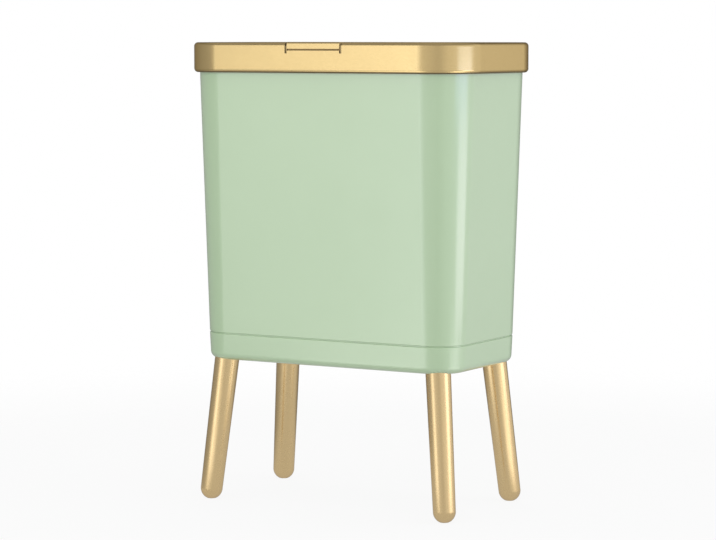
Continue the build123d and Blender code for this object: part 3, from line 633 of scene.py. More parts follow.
def moulded_plastic(name, first, second, roughness):
    """Matt technical plastic with a spark-eroded grain."""
    made, tree, place, shader = start_material(name)
    tone = spread(tree, noise(tree, place, scale=30.0, detail=4.0))
    patches = noise(tree, place, scale=300.0, detail=3.0)
    grain = noise(tree, place, scale=1500.0, detail=3.0)
    inputs = {
        "Base Color": two_tone(tree, tone, first, second),
        "Roughness": spread(tree, patches, low=roughness - 0.05, high=roughness + 0.07),
        "Specular IOR Level": 0.3,
        "Normal": bump(tree, grain, strength=0.3, distance=0.00005),
    }
    set_inputs(tree, shader, inputs)
    return made


def bare_metal(name, first, second, roughness, lines):
    """Turned or drawn metal with fine tool lines along one direction."""
    made, tree, place, shader = start_material(name)
    stretched = add_node(tree, "ShaderNodeMapping", {"Vector": place, "Scale": lines})
    marks = noise(tree, stretched.outputs["Vector"], scale=800.0, detail=3.0)
    tone = spread(tree, noise(tree, place, scale=120.0, detail=3.0))
    inputs = {
        "Base Color": two_tone(tree, tone, first, second),
        "Metallic": 1.0,
        "Roughness": spread(tree, marks, low=roughness - 0.06, high=roughness + 0.08),
        "Normal": bump(tree, marks, strength=0.15, distance=0.00003),
    }
    set_inputs(tree, shader, inputs)
    return made


def soft_rubber(name, first, second):
    """Matt rubber with a fine grain."""
    made, tree, place, shader = start_material(name)
    tone = spread(tree, noise(tree, place, scale=200.0, detail=4.0))
    grain = noise(tree, place, scale=2500.0)
    inputs = {
        "Base Color": two_tone(tree, tone, first, second),
        "Roughness": spread(tree, noise(tree, place, scale=900.0), low=0.7, high=0.85),
        "Specular IOR Level": 0.3,
        "Normal": bump(tree, grain, strength=0.3, distance=0.00004),
    }
    set_inputs(tree, shader, inputs)
    return made


# Each finish varies between two colours. After them come the gold's limits of roughness and
# its clear coat's weight, the moulded plastics' roughness, and the metals' roughness and the
# scale of their lines along X, Y and Z.
GREEN = glossy_plastic("green_plastic", (0.416, 0.582, 0.346), (0.430, 0.596, 0.360))
RIM_GOLD = gold_paint("rim_gold", (0.72, 0.53, 0.235), (0.76, 0.57, 0.265), 0.22, 0.26, 0.35)
LEG_GOLD = gold_paint("leg_gold", (0.76, 0.55, 0.26), (0.80, 0.59, 0.29), 0.25, 0.30, 1.0)
INNER = moulded_plastic("inner_plastic", (0.30, 0.33, 0.29), (0.34, 0.37, 0.33), 0.5)
BLACK = moulded_plastic("black_plastic", (0.018, 0.018, 0.019), (0.026, 0.026, 0.027), 0.45)
# A dark brown for the gold frame: painted shade along its lower edge and in its slots, and bare
# plastic on its inner faces.
RIM_SHADE_AND_BARE = moulded_plastic("rim_underside", (0.12, 0.088, 0.038), (0.15, 0.108, 0.048), 0.6)
BASE_UNDER = moulded_plastic("base_underside", (0.36, 0.51, 0.30), (0.39, 0.54, 0.32), 0.55)
CARRIER = moulded_plastic("button_carrier", (0.50, 0.37, 0.17), (0.56, 0.42, 0.20), 0.55)
STEEL = bare_metal("steel", (0.52, 0.52, 0.51), (0.60, 0.60, 0.59), 0.32, (1.0, 1.0, 12.0))
SPRING = bare_metal("spring_steel", (0.42, 0.41, 0.40), (0.52, 0.51, 0.49), 0.26, (6.0, 1.0, 1.0))
BRASS = bare_metal("brass", (0.72, 0.52, 0.22), (0.80, 0.60, 0.28), 0.30, (1.0, 1.0, 10.0))
RUBBER = soft_rubber("pad_rubber", (0.05, 0.052, 0.05), (0.075, 0.078, 0.075))

SLOT_MATERIAL = {
    "body_green": GREEN,
    "gold": RIM_GOLD,
    "leg_gold": LEG_GOLD,
    "inner_plastic": INNER,
    "black_plastic": BLACK,
    "steel": STEEL,
    "spring_steel": SPRING,
    "brass_insert": BRASS,
    "pad_rubber": RUBBER,
}


def dress(obj, slot, body, *nodes):
    """Gives a piece its finish and its body, and hides the CAD nodes that it stands for; a piece
    with no body is attached to none."""
    obj.data.materials.clear()
    obj.data.materials.append(SLOT_MATERIAL[slot])
    if body:
        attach(obj, body)
    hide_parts(*nodes)
    return obj


def paint_faces(obj, finish, chosen):
    """Gives the faces that a test picks a second finish."""
    obj.data.materials.append(finish)
    for face in obj.data.polygons:
        if chosen(face.center / MM, face.normal):
            face.material_index = 1


def dress_nodes():
    """Puts the procedural finishes on the CAD nodes that stay."""
    for obj in frame["nodes"].values():
        for slot in obj.material_slots:
            slot.material = SLOT_MATERIAL[slot.material.name]


# Bucket and base


def make_bucket():
    edge = body_inset(BUCKET_BOTTOM)
    top = body_inset(BUCKET_TOP)
    spigot = edge + BASE_WALL + SPIGOT_GAP
    spigot_low = BUCKET_BOTTOM - SPIGOT_TALL
    low = BUCKET_BOTTOM + BUCKET_FLOOR
    corner = body_inset(low) + BUCKET_WALL + FLOOR_EDGE
    lip = BUCKET_WALL / 2
    profile = [(spigot + SPIGOT_WALL, BUCKET_BOTTOM), (spigot + SPIGOT_WALL, spigot_low)]
    profile += [(spigot, spigot_low), (spigot, BASE_TOP)]
    profile += [(edge + SEAM_STEP, BASE_TOP), (edge + SEAM_STEP, BUCKET_BOTTOM)]
    profile += arc(edge + SEAM_EDGE, BUCKET_BOTTOM + SEAM_EDGE, SEAM_EDGE, 270, 180)
    profile += arc(top + lip, BUCKET_TOP - lip, lip, 180, 0, steps=8)
    profile += arc(corner, low + FLOOR_EDGE, -FLOOR_EDGE, 0, 90, steps=8)
    bucket = sweep("bucket_shell", profile)
    pilot = BASE_SCREW_HOLE - HOLE_STEP
    for x, y in screw_places("base_screws"):
        combine(bucket, rod(BASE_BOSS_RADIUS, x, y, BASE_BOSS_TOP, BUCKET_BOTTOM + PAST), "UNION")
        combine(bucket, rod(pilot, x, y, BASE_BOSS_TOP - PAST, BUCKET_BOTTOM), "DIFFERENCE")
    dress(tidy(bucket), "body_green", "bin", "bucket")


def base_profile(drawn_in=0.0):
    """The base's outside, from the underside to the top edge."""
    foot = body_inset(BASE_BOTTOM) + BASE_EDGE
    low = BASE_EDGE - drawn_in
    high = max(SEAM_EDGE - drawn_in, LEAST_EDGE)
    top = body_inset(BASE_TOP) + drawn_in + high
    profile = arc(foot, BASE_BOTTOM + BASE_EDGE, low, 270, 180, steps=12)
    return profile + arc(top, BASE_TOP - drawn_in - high, high, 180, 90)


def leg_axes():
    """Each leg's foot, as the middle of its round end, and where it meets the underside."""
    axes = {}
    for mount in frame["record"]["mounts"]:
        foot = Vector(mount["pos_m"]) / MM
        centre = Vector((foot.x, foot.y, math.sqrt(FOOT_RADIUS**2 - FOOT_FLAT**2)))
        x = foot.x - math.copysign(SPLAY_X, foot.x)
        y = foot.y - math.copysign(SPLAY_Y, foot.y)
        axes[mount["name"].replace("foot_", "leg_")] = (centre, Vector((x, y, BASE_BOTTOM)))
    return axes


def add_socket(base, foot, leg_top):
    """Joins a leg's boss to the base, within its skin, and cuts the hole for the leg."""
    up = (leg_top - foot).normalized()
    outside = SOCKET_RADIUS + BASE_WALL
    narrow = INSERT_RADIUS + BASE_WALL
    height = SOCKET_DEPTH + INSERT_LENGTH + BASE_WALL
    profile = [(outside, -SOCKET_DEPTH), (outside, SOCKET_DEPTH)]
    profile += [(narrow, SOCKET_DEPTH), (narrow, height)]
    boss = turn("tool", profile, leg_top, up)
    combine(boss, sweep("tool", base_profile(SOCKET_SUNK)), "INTERSECT")
    combine(base, boss, "UNION")
    hole = [(SOCKET_RADIUS, -2 * SOCKET_DEPTH), (SOCKET_RADIUS, SOCKET_DEPTH)]
    combine(base, turn("tool", hole, leg_top, up), "DIFFERENCE")


def beneath_base(centre, normal):
    """Whether a face is in the flat underside, which keeps the mould's grain."""
    return normal.z < -LEVEL and centre.z < BASE_BOTTOM + UNDER_EDGE


def make_base():
    inner = BASE_EDGE - BASE_WALL
    low = BASE_BOTTOM + BASE_WALL
    centre = body_inset(BASE_BOTTOM) + BASE_WALL + inner
    profile = base_profile() + [(body_inset(BASE_TOP) + BASE_WALL, BASE_TOP)]
    profile += arc(centre, low + inner, -inner, 0, 90, steps=8)
    base = sweep("base_band", profile)
    seat = BASE_BOTTOM + SCREW_SINK
    for x, y in screw_places("base_screws"):
        combine(base, rod(BASE_BOSS_RADIUS, x, y, BASE_BOTTOM + PAST, BASE_BOSS_TOP), "UNION")
        combine(base, rod(SCREW_RECESS, x, y, BASE_BOTTOM - PAST, seat), "DIFFERENCE")
        combine(base, rod(BASE_SCREW_HOLE, x, y, seat - PAST, BASE_BOSS_TOP + PAST), "DIFFERENCE")
    for foot, leg_top in leg_axes().values():
        add_socket(base, foot, leg_top)
    dress(tidy(base, bevel=0.2, merge=False), "body_green", "bin", "base_pan")
    for face in base.data.polygons:
        face.use_smooth = abs(face.normal.z) < LEVEL
    paint_faces(base, BASE_UNDER, beneath_base)


def leg_tip(radius, steps):
    """Profile points of a leg's round end, from its lowest up to its side."""
    angles = [math.radians(90 * step / steps) for step in range(steps + 1)]
    return [(max(radius * math.sin(a), LEAST_RADIUS), -radius * math.cos(a)) for a in angles]


def leg_radius(share):
    """A leg's radius at a share of its length."""
    return FOOT_RADIUS + (LEG_TOP_RADIUS - FOOT_RADIUS) * share


def make_leg(name, foot, leg_top):
    """A tapered tube with a round end, cut off level at the ground."""
    up = (leg_top - foot).normalized()
    length = (leg_top - foot).length + SOCKET_DEPTH
    shares = [row / LEG_ROWS for row in range(LEG_ROWS)]
    profile = leg_tip(FOOT_RADIUS, steps=16)
    profile += [(leg_radius(share), length * share) for share in shares[1:]]
    profile += [(leg_radius(1), length - LEG_EDGE), (LEG_TOP_RADIUS - LEG_EDGE, length)]
    profile.append((LEG_TOP_RADIUS - LEG_WALL, length))
    profile += [(leg_radius(share) - LEG_WALL, length * share) for share in reversed(shares)]
    profile += reversed(leg_tip(FOOT_RADIUS - 2 * LEG_WALL, steps=8))
    leg = turn(name, profile, foot, up, LEG_SIDES)
    reach = GROUND_REACH
    combine(leg, brick(-reach, reach, -reach, reach, -GROUND_DEPTH, 0), "DIFFERENCE")
    dress(tidy(leg, bevel=0.35, segments=3), "leg_gold", "bin", name.replace("_tube", ""))


# Gold frame


def cut_notch(rim):
    """Cuts the place for the button, and a slot at each side of it."""
    wide = NOTCH_HALF + SLOT_EASE
    front = FRONT - CLEAR
    notch = brick(-wide, wide, front, FRONT + NOTCH_DEPTH, TONGUE_TOP, HEIGHT + CLEAR)
    combine(rim, notch, "DIFFERENCE")
    for side in (-1, 1):
        x0, x1 = span(side, BUTTON_HALF - SLOT_EASE, wide)
        slot = brick(x0, x1, front, FRONT + SKIRT_WALL + PAST, SLOT_BOTTOM, HEIGHT)
        combine(rim, slot, "DIFFERENCE")


def rim_depth(x, y):
    """How far inside the rim's outline a place is."""
    across = abs(x) - (HALF_X - CORNER)
    along = abs(y) - (HALF_Y - CORNER)
    return CORNER - math.hypot(max(across, 0), max(along, 0)) - min(max(across, along), 0)


def rim_shade_and_bare_faces(centre, normal):
    """Whether a face of the gold frame takes the dark brown: the downward faces of its lower edge
    and the walls of its slots, where it paints the shade under the frame and in the slots, and the
    bare plastic behind its skirt and under its band, which also lies in shade.
    """
    depth = rim_depth(centre.x, centre.y)
    if centre.z < RIM_BOTTOM + RIM_EDGE and normal.z < DOWNWARD:
        return True
    beside = abs(abs(centre.x) - NOTCH_HALF + SLOT_WIDTH / 2) < SLOT_WIDTH
    in_slot = beside and centre.y < 0 and centre.z > SLOT_BOTTOM - PAST
    if in_slot and abs(normal.y) < ASLANT and normal.z < UPWARD:
        return depth > GUIDE_RECESS
    low = RIM_BOTTOM + SKIRT_EDGE
    high = BAND_UNDER + INSIDE_EDGE
    return depth > SKIRT_WALL - INSIDE_EDGE and low < centre.z < high and normal.z < ASLANT


def make_rim():
    start = 180 + math.degrees(math.acos((RIM_EDGE - SKIRT_WALL) / RIM_EDGE))
    profile = arc(RIM_EDGE, RIM_BOTTOM + RIM_EDGE, RIM_EDGE, start, 180, steps=12)
    profile += arc(RIM_EDGE, RIM_TOP - RIM_EDGE, RIM_EDGE, 180, 90, steps=10)
    profile += arc(BAND_WIDTH - BAND_EDGE, RIM_TOP - BAND_EDGE, BAND_EDGE, 90, 0, steps=4)
    profile += [(BAND_WIDTH, BAND_UNDER), (SKIRT_WALL, BAND_UNDER), (SKIRT_WALL, RIM_BOTTOM)]
    rim = sweep("rim_shell", profile, closed=True)
    cut_notch(rim)
    for x, y in screw_places("rim_screws"):
        combine(rim, rod(BOSS_RADIUS, x, y, SEAT_TOP + HAIR, BAND_UNDER + PAST), "UNION")
    dress(tidy(rim, bevel=0.45, segments=3), "gold", "rim", "rim_frame")
    # The dark brown paints the shade under the frame's lower edge and in its slots.
    paint_faces(rim, RIM_SHADE_AND_BARE, rim_shade_and_bare_faces)


# Button


def button_cap():
    """The gold front and top, with a rounded edge between them."""
    low = HEIGHT - BUTTON_CAP
    back = FRONT + BUTTON_WALL
    profile = [(FRONT, BUTTON_BOTTOM), (back, BUTTON_BOTTOM), (back, low)]
    profile += [(FRONT + BUTTON_TOP, low), (FRONT + BUTTON_TOP, HEIGHT)]
    profile += arc(FRONT + BUTTON_EDGE, HEIGHT - BUTTON_EDGE, BUTTON_EDGE, 90, 180, steps=8)
    half = BUTTON_HALF - SLOT_EASE
    return slice_x("button_cap", profile, -half, half)


def add_carrier(button):
    """Fills the cap with the carrier's block, and adds its flange."""
    half = CARRIER_HALF
    front = FRONT + CARRIER_INSET
    top = HEIGHT - CARRIER_INSET
    block = brick(-half, half, front, FLANGE_BACK, BUTTON_BOTTOM + HAIR, top)
    combine(button, block, "UNION")
    low = BUTTON_LOW.z
    flange = brick(-half, half, FLANGE_Y, FLANGE_BACK - HAIR, low, top - CARRIER_INSET)
    combine(button, flange, "UNION")


def add_guide(button, side):
    """Joins the guide that runs in one slot, and the peg of the spring beside it."""
    low = SLOT_BOTTOM + FLANGE_GAP
    high = BAND_UNDER - FLANGE_GAP
    x0, x1 = span(side, GUIDE_X, GUIDE_X + GUIDE_THICK)
    guide = brick(x0, x1, FRONT + GUIDE_RECESS, FLANGE_BACK, low, high)
    x0, x1 = span(side, CARRIER_HALF - PAST, GUIDE_X + GUIDE_THICK)
    arm = brick(x0, x1, FLANGE_Y + HAIR, FLANGE_BACK - 2 * HAIR, low, high)
    combine(guide, arm, "UNION")
    combine(button, guide, "UNION")
    spring_low, spring_high = box_mm("button_spring_right")
    peg_x = side * (spring_low.x + spring_high.x) / 2
    peg_z = (BUTTON_LOW.z - FLANGE_GAP + BAND_UNDER) / 2
    peg = rod_y(PEG_RADIUS, peg_x, FLANGE_BACK - PAST, FLANGE_BACK + PEG_LENGTH, peg_z)
    combine(button, peg, "UNION")


def behind_button(centre, _normal):
    """Whether a face belongs to the button's carrier."""
    under_top = centre.z < HEIGHT - BUTTON_CAP + CARRIER_EDGE
    if centre.y > FRONT + BUTTON_WALL + CARRIER_EDGE and under_top:
        return True
    outside = abs(centre.x) > BUTTON_HALF - CAP_SIDE or centre.z < SLOT_BOTTOM + PAST
    return centre.y > FRONT + CAP_FRONT and outside


def make_button():
    """A gold cap on a plastic carrier: block, flange, two guides and pegs for the springs."""
    button = button_cap()
    add_carrier(button)
    for side in (-1, 1):
        add_guide(button, side)
    half = PLATE_HIGH.x + HAIR
    low = BUTTON_LOW.z - PAST
    slot = brick(-half, half, FLANGE_Y - PAST, FLANGE_BACK + PAST, low, PLATE_HIGH.z + HAIR)
    combine(button, slot, "DIFFERENCE")
    dress(tidy(button, bevel=0.4, segments=3), "gold", "button", "release_button")
    paint_faces(button, CARRIER, behind_button)


# Lid and hinge


def nose_outline(wall):
    """The lid's section in Y and Z, with its rounded nose, drawn in by a wall."""
    far = -2 * HALF_Y
    low = LID_BOTTOM - CLEAR
    high = LID_TOP + CLEAR
    nose = arc(HINGE_Y, HINGE_Z, NOSE_RADIUS - wall, 0, 90, steps=12)
    return [(far, low), (NOSE_END - wall, low), *nose, (HINGE_Y - SLIVER, high), (far, high)]


def add_web(lid, x, thick):
    """Joins a web round the hinge's axis, up to the lid's skin."""
    web = rod_x(WEB_RADIUS, x, x + thick, HINGE_Y, HINGE_Z)
    front = HINGE_Y - WEB_RADIUS
    back = HINGE_Y - SLIVER
    block = brick(x, x + thick, front, back, HINGE_Z - SUNK, LID_INSIDE + PAST)
    combine(web, block, "UNION")
    combine(lid, web, "UNION")


def add_boss(obj, x, y, low, pilot_low, pilot_high):
    """Joins a screw boss under the skin, with its pilot hole."""
    combine(obj, rod(BOSS_RADIUS, x, y, low, LID_INSIDE + SUNK), "UNION")
    combine(obj, rod(PILOT_RADIUS, x, y, pilot_low, pilot_high), "DIFFERENCE")


def make_lid():
    profile = [(LID_INSET, LID_BOTTOM)]
    profile += arc(LID_INSET + LID_EDGE, LID_TOP - LID_EDGE, LID_EDGE, 180, 90)
    lid = sweep("lid_skin", profile)
    combine(lid, slice_x("tool", nose_outline(0), -HALF_X, HALF_X), "INTERSECT")
    inset = LID_INSET + LID_WALL
    hollow = sweep("tool", [(inset, LID_BOTTOM - PAST), (inset, LID_INSIDE)])
    combine(hollow, slice_x("tool", nose_outline(LID_WALL), -HALF_X, HALF_X), "INTERSECT")
    combine(lid, hollow, "DIFFERENCE")
    outer = EAR_X + EAR_THICK + WEB_GAP
    inner = PIN_END + SUNK
    for x in (-outer - WEB_THICK, inner, -inner - WEB_THICK, outer):
        add_web(lid, x, WEB_THICK)
    add_web(lid, DAMPER_END + DAMPER_GAP, DAMPER_WEB)
    reach = LID_HIGH.x - LID_WALL - SUNK
    for x0, x1 in ((-reach, 0), (0, reach)):
        combine(lid, rod_x(PIN_HOLE, x0, x1, HINGE_Y, HINGE_Z), "DIFFERENCE")
    for x, y in screw_places("lid_screws") + screw_places("catch_screws"):
        add_boss(lid, x, y, LID_BOTTOM + LID_PLATE, LID_BOTTOM, LID_INSIDE + SUNK)
    dress(tidy(lid, bevel=0.25), "body_green", "lid", "lid_panel")


def hinge_ear(side):
    """An ear for the hinge pin, on an arm that passes below the lid's swing."""
    low = ARM_TOP - ARM_TALL
    x0, x1 = span(side, EAR_X, EAR_X + EAR_THICK)
    ear = rod_x(EAR_RADIUS, x0, x1, HINGE_Y, HINGE_Z)
    combine(ear, brick(x0, x1, ARM_FRONT, SWING_Y, low, HINGE_Z), "UNION")
    x2, x3 = span(side, EAR_X - EAR_THICK, EAR_X + EAR_THICK)
    combine(ear, brick(x2, x3, ARM_FRONT, DECK_FRONT + PAST, low, ARM_TOP), "UNION")
    combine(ear, rod_x(PIN_HOLE, x0 - PAST, x1 + PAST, HINGE_Y, HINGE_Z), "DIFFERENCE")
    return ear


def make_deck():
    profile = [(DECK_INSET, LEDGE_TOP)]
    profile += arc(DECK_INSET + LID_EDGE, LID_TOP - LID_EDGE, LID_EDGE, 180, 90)
    deck = sweep("deck_skin", profile)
    reach = 2 * HALF_X
    combine(deck, brick(-reach, reach, DECK_FRONT, reach, 0, 2 * reach), "INTERSECT")
    inset = DECK_INSET + LID_WALL
    back = DECK_FRONT + LID_WALL
    hollow = sweep("tool", [(inset, LEDGE_TOP - PAST), (inset, LID_INSIDE)])
    combine(hollow, brick(-reach, reach, back, reach, 0, 2 * reach), "INTERSECT")
    combine(deck, hollow, "DIFFERENCE")
    half = HALF_X - DECK_WALL_INSET
    wall = brick(-half, half, DECK_FRONT, back, DECK_WALL_BOTTOM, LEDGE_TOP + PAST)
    combine(deck, wall, "UNION")
    for side in (-1, 1):
        combine(deck, hinge_ear(side), "UNION")
    for x, y in screw_places("deck_screws"):
        add_boss(deck, x, y, LEDGE_TOP, LEDGE_TOP - PAST, LID_INSIDE)
    dress(tidy(deck, bevel=0.25), "body_green", "rim", "hinge_deck")


# Springs


def make_lid_spring(node):
    """One end stands on the ear and the other lies under the lid."""
    low, high = box_mm(node)
    side = math.copysign(1, low.x)
    start = max(abs(low.x), abs(high.x)) - LID_COIL_WIRE
    end = min(abs(low.x), abs(high.x)) + LID_COIL_WIRE

    def place(angle, share):
        x = side * (start + (end - start) * share)
        return (x, HINGE_Y - LID_COIL * math.cos(angle), HINGE_Z + LID_COIL * math.sin(angle))

    path = [(side * start, HINGE_Y - LID_COIL, ARM_TOP + ARM_TOUCH)]
    path += coil(LID_COIL_TURNS, place)
    path += [(side * end, HINGE_Y - LID_COIL_ARM, HINGE_Z - LID_COIL)]
    spring = dress(tidy(wire(node + "_coil", path, LID_COIL_WIRE)), "spring_steel", None, node)
    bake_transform(spring)


def make_button_spring(node):
    """Stands against the seat ring."""
    low, high = box_mm(node)
    middle = (low + high) / 2
    length = high.y - low.y

    def place(angle, share):
        x = middle.x + BUTTON_COIL * math.cos(angle)
        y = low.y + BUTTON_COIL_WIRE + (length - 2 * BUTTON_COIL_WIRE) * share
        return (x, y, middle.z + BUTTON_COIL * math.sin(angle))

    path = coil(BUTTON_COIL_TURNS, place)
    spring = dress(tidy(wire(node + "_coil", path, BUTTON_COIL_WIRE)), "spring_steel", "rim", node)
    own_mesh(spring)


# Screws


def screw_profile(head, length, countersunk):
    """Radius and height of a screw, from its head to its point."""
    shank = head * SHANK
    if countersunk:
        tall = head - shank
        profile = [(head - HEAD_CHAMFER, 0.0), (head, HEAD_CHAMFER)]
    else:
        tall = head * HEAD_TALL
        profile = [(head * radius, tall * height) for radius, height in PAN_HEAD]
    profile.append((shank, tall))
    turns = max(LEAST_TURNS, round((length - tall) / THREAD_PITCH))
    threaded = length - tall - THREAD_END
    pitch = threaded / turns
    for step in range(turns):
        start = tall + threaded * step / turns
        profile += [(shank * radius, start + height * pitch) for radius, height in THREAD]
    return profile + [(shank * THREAD_ROOT, length - POINT_TALL), (shank * POINT_RADIUS, length)]


def make_screw(low, high, axis, countersunk):
    """One screw with a cross recess. Its head is at the low end of its axis."""
    way = Vector((0, 0, 0))
    way[axis] = 1.0
    foot = (low + high) / 2
    foot[axis] = low[axis]
    across = [k for k in range(3) if k != axis]
    head = (high[across[0]] - low[across[0]]) / 2
    profile = screw_profile(head, high[axis] - low[axis], countersunk)
    screw = turn("tool", profile, foot, way, SCREW_SIDES)
    for first, second in (across, reversed(across)):
        size = Vector((0, 0, 0))
        size[first] = head * CROSS_LONG
        size[second] = head * CROSS_WIDE
        a = foot - size
        b = foot + size
        a[axis] -= PAST
        b[axis] += head * CROSS_DEEP
        combine(screw, brick(a.x, b.x, a.y, b.y, a.z, b.z), "DIFFERENCE")
    return screw


def make_screws(node, body, axis=2, countersunk=False):
    screws = [make_screw(low, high, axis, countersunk) for low, high in islands(node)]
    dress(tidy(join(node + "_cross", screws), angle=30), "steel", body, node)


# Stage, in metres. Headings are in degrees, from the front (-Y) towards the right (+X).

WHITE = (1.0, 1.0, 1.0)
COOL = (0.95, 0.97, 1.12)
BLUE_WHITE = (0.70, 0.92, 1.75)
ROSE_WHITE = (1.04, 0.93, 1.06)
# What the studio's walls give to reflections: heading, and brightness
WRAP = (
    (-180, 0.25),
    (-150, 0.25),
    (-100, 0.36),
    (-60, 0.42),
    (-45, 0.46),
    (-38, 0.52),
    (-10, 0.74),
    (10, 0.69),
    (28, 0.60),
    (54, 0.82),
    (84, 0.88),
    (112, 0.86),
    (132, 0.78),
    (150, 0.88),
    (165, 0.50),
    (180, 0.25),
)
WRAP_PEAK = 1.5
# The sine of the elevation, and the walls' share of the brightness or the ceiling's brightness
WRAP_HEIGHT = ((-1.0, 0.55), (-0.35, 0.85), (-0.05, 1.0), (0.35, 1.0), (0.7, 0.45), (1.0, 0.28))
CEILING = ((-1.0, 0.0), (0.15, 0.0), (0.5, 0.22), (0.8, 0.38), (1.0, 0.42))
# What the floor gives to reflections: heading, and brightness away from the legs
FLOOR_SHEEN = (
    (-180, 0.25),
    (-140, 0.25),
    (-100, 0.32),
    (-60, 0.42),
    (-42, 0.60),
    (-34, 0.95),
    (-27, 1.90),
    (-5, 1.90),
    (3, 0.80),
    (20, 0.60),
    (45, 0.60),
    (66, 0.80),
    (74, 2.00),
    (98, 2.00),
    (108, 0.85),
    (140, 0.70),
    (160, 0.40),
    (180, 0.25),
)
SHEEN_PEAK = 2.0
SHEEN_NEAR = 0.64
SHEEN_START = 0.2
SHEEN_END = 0.5
AMBIENT = 0.72
FLOOR_RADIUS = 1.5
FLOOR_SIDES = 96
FLOOR_FADE_START = 0.55
FLOOR_FADE_END = 1.25
PAPER = (0.60, 0.60, 0.60, 1)
# The floor's share of plain light, over the lit paper that takes the shadow
FLOOR_WHITE = 0.90
# Upright softboxes: name, heading, distance, low and high edge, width, brightness, whether
# the bin mirrors it, and colour
LAMPS = (
    ("front_box", -27.1, 1.4, -0.1, 1.3, 0.528, 0.72, True, WHITE),
    ("front_glow", -16, 1.38, -0.1, 1.3, 0.34, 0.46, True, COOL),
    ("side_strip", 101, 1.1, 0.04, 0.345, 0.57, 1.3, True, ROSE_WHITE),
    ("rim_glow", 92, 1.08, 0.36, 0.50, 0.68, 0.8, True, BLUE_WHITE),
    ("leg_glow_left", -14, 1.3, -0.1, 0.03, 0.50, 0.3, True, WHITE),
    ("leg_glow_right", 86, 1.05, -0.1, 0.03, 0.44, 0.6, True, WHITE),
    ("soft_key", 14, 2.4, 0.6, 2.2, 2.0, 1.3, False, WHITE),
    ("soft_fill", 110, 2.4, 0.4, 2.0, 1.6, 1.6, False, WHITE),
    ("soft_back", -150, 2.6, 0.4, 2.0, 1.8, 1.2, False, WHITE),
)
TOP_LAMP_SIZE = 1.6
TOP_LAMP_GLOW = 1.2
TOP_LAMP_HEIGHT = 2.4
# Camera, fitted to the photograph
CAMERA_HEADING = 30.135
CAMERA_PITCH = 5.172
CAMERA_DISTANCE = 2.835
CAMERA_REACH = 50
TARGET = Vector((0, 0, 0.25))
FOCAL_PIXELS = 2601.67
CENTRE_X = 360.22
CENTRE_Y = 272.08
IMAGE_WIDTH = 716
IMAGE_HEIGHT = 540
SENSOR = 36.0


def mix_shaders(tree, factor, first, second):
    inputs = {0: factor, 1: first, 2: second}
    return add_node(tree, "ShaderNodeMixShader", inputs).outputs[0]


def shine(tree, kind, colour, strength):
    """A shader that gives light itself: an emission, or a background."""
    return add_node(tree, kind, {"Color": colour, "Strength": strength}).outputs[0]


def ramp(tree, factor, stops):
    """A grey by place from 0 to 1, eased between the stops."""
    made = add_node(tree, "ShaderNodeValToRGB", {"Fac": factor})
    elements = made.color_ramp.elements
    while len(elements) < len(stops):
        elements.new(0.5)
    for element, (place, _value) in zip(elements, stops):
        element.position = place
    for element, (_place, value) in zip(elements, stops):
        element.color = (value, value, value, 1)
    made.color_ramp.interpolation = "EASE"
    return made.outputs["Color"]


def heading_ramp(tree, place, stops, peak):
    """A grey by heading round the bin, from a direction or a place."""
    parts = add_node(tree, "ShaderNodeSeparateXYZ", {"Vector": place})
    ahead = calculate(tree, "MULTIPLY", parts.outputs["Y"], -1.0)
    heading = calculate(tree, "ARCTAN2", parts.outputs["X"], ahead)
    around = map_range(tree, heading, -math.pi, math.pi)
    return ramp(tree, around, [((a + 180) / 360, v / peak) for a, v in stops])


def mirror_ray(tree, path):
    """1 for the rays that metal and glass show."""
    return calculate(tree, "MAXIMUM", path["Is Glossy Ray"], path["Is Transmission Ray"])


def floor_shader(tree, place):
    """White to the camera with its shadow, and a sheen of the studio in what is shiny."""
    path = add_node(tree, "ShaderNodeLightPath").outputs
    distance = add_node(tree, "ShaderNodeVectorMath", {0: place}, operation="LENGTH")
    distance = distance.outputs["Value"]
    emit = "ShaderNodeEmission"
    paper = add_node(tree, "ShaderNodeBsdfDiffuse", {"Color": PAPER}).outputs[0]
    seen = calculate(tree, "MULTIPLY", path["Is Camera Ray"], FLOOR_WHITE)
    lit = mix_shaders(tree, seen, paper, shine(tree, emit, (*WHITE, 1), 1.0))
    sheen = heading_ramp(tree, place, FLOOR_SHEEN, SHEEN_PEAK)
    near = shine(tree, emit, (*WHITE, 1), SHEEN_NEAR)
    far = shine(tree, emit, sheen, SHEEN_PEAK)
    away = map_range(tree, distance, SHEEN_START, SHEEN_END, kind="SMOOTHSTEP")
    shiny = mix_shaders(tree, away, near, far)
    mirrored = calculate(tree, "MULTIPLY", mirror_ray(tree, path), FLOOR_WHITE)
    lit = mix_shaders(tree, mirrored, lit, shiny)
    fade = map_range(tree, distance, FLOOR_FADE_START, FLOOR_FADE_END, kind="SMOOTHSTEP")
    below = add_node(tree, "ShaderNodeNewGeometry").outputs["Backfacing"]
    gone = calculate(tree, "MAXIMUM", fade, below)
    return mix_shaders(tree, gone, lit, add_node(tree, "ShaderNodeBsdfTransparent").outputs[0])


def make_floor():
    radius = FLOOR_RADIUS / MM
    angles = [2 * math.pi * step / FLOOR_SIDES for step in range(FLOOR_SIDES)]
    edge = [(radius * math.cos(angle), radius * math.sin(angle), 0) for angle in angles]
    floor = add_mesh("floor", edge, [tuple(range(FLOOR_SIDES))])
    made = bpy.data.materials.new("floor")
    tree = clear_tree(made)
    place = add_node(tree, "ShaderNodeTexCoord").outputs["Object"]
    add_node(tree, "ShaderNodeOutputMaterial", {"Surface": floor_shader(tree, place)})
    floor.data.materials.append(made)


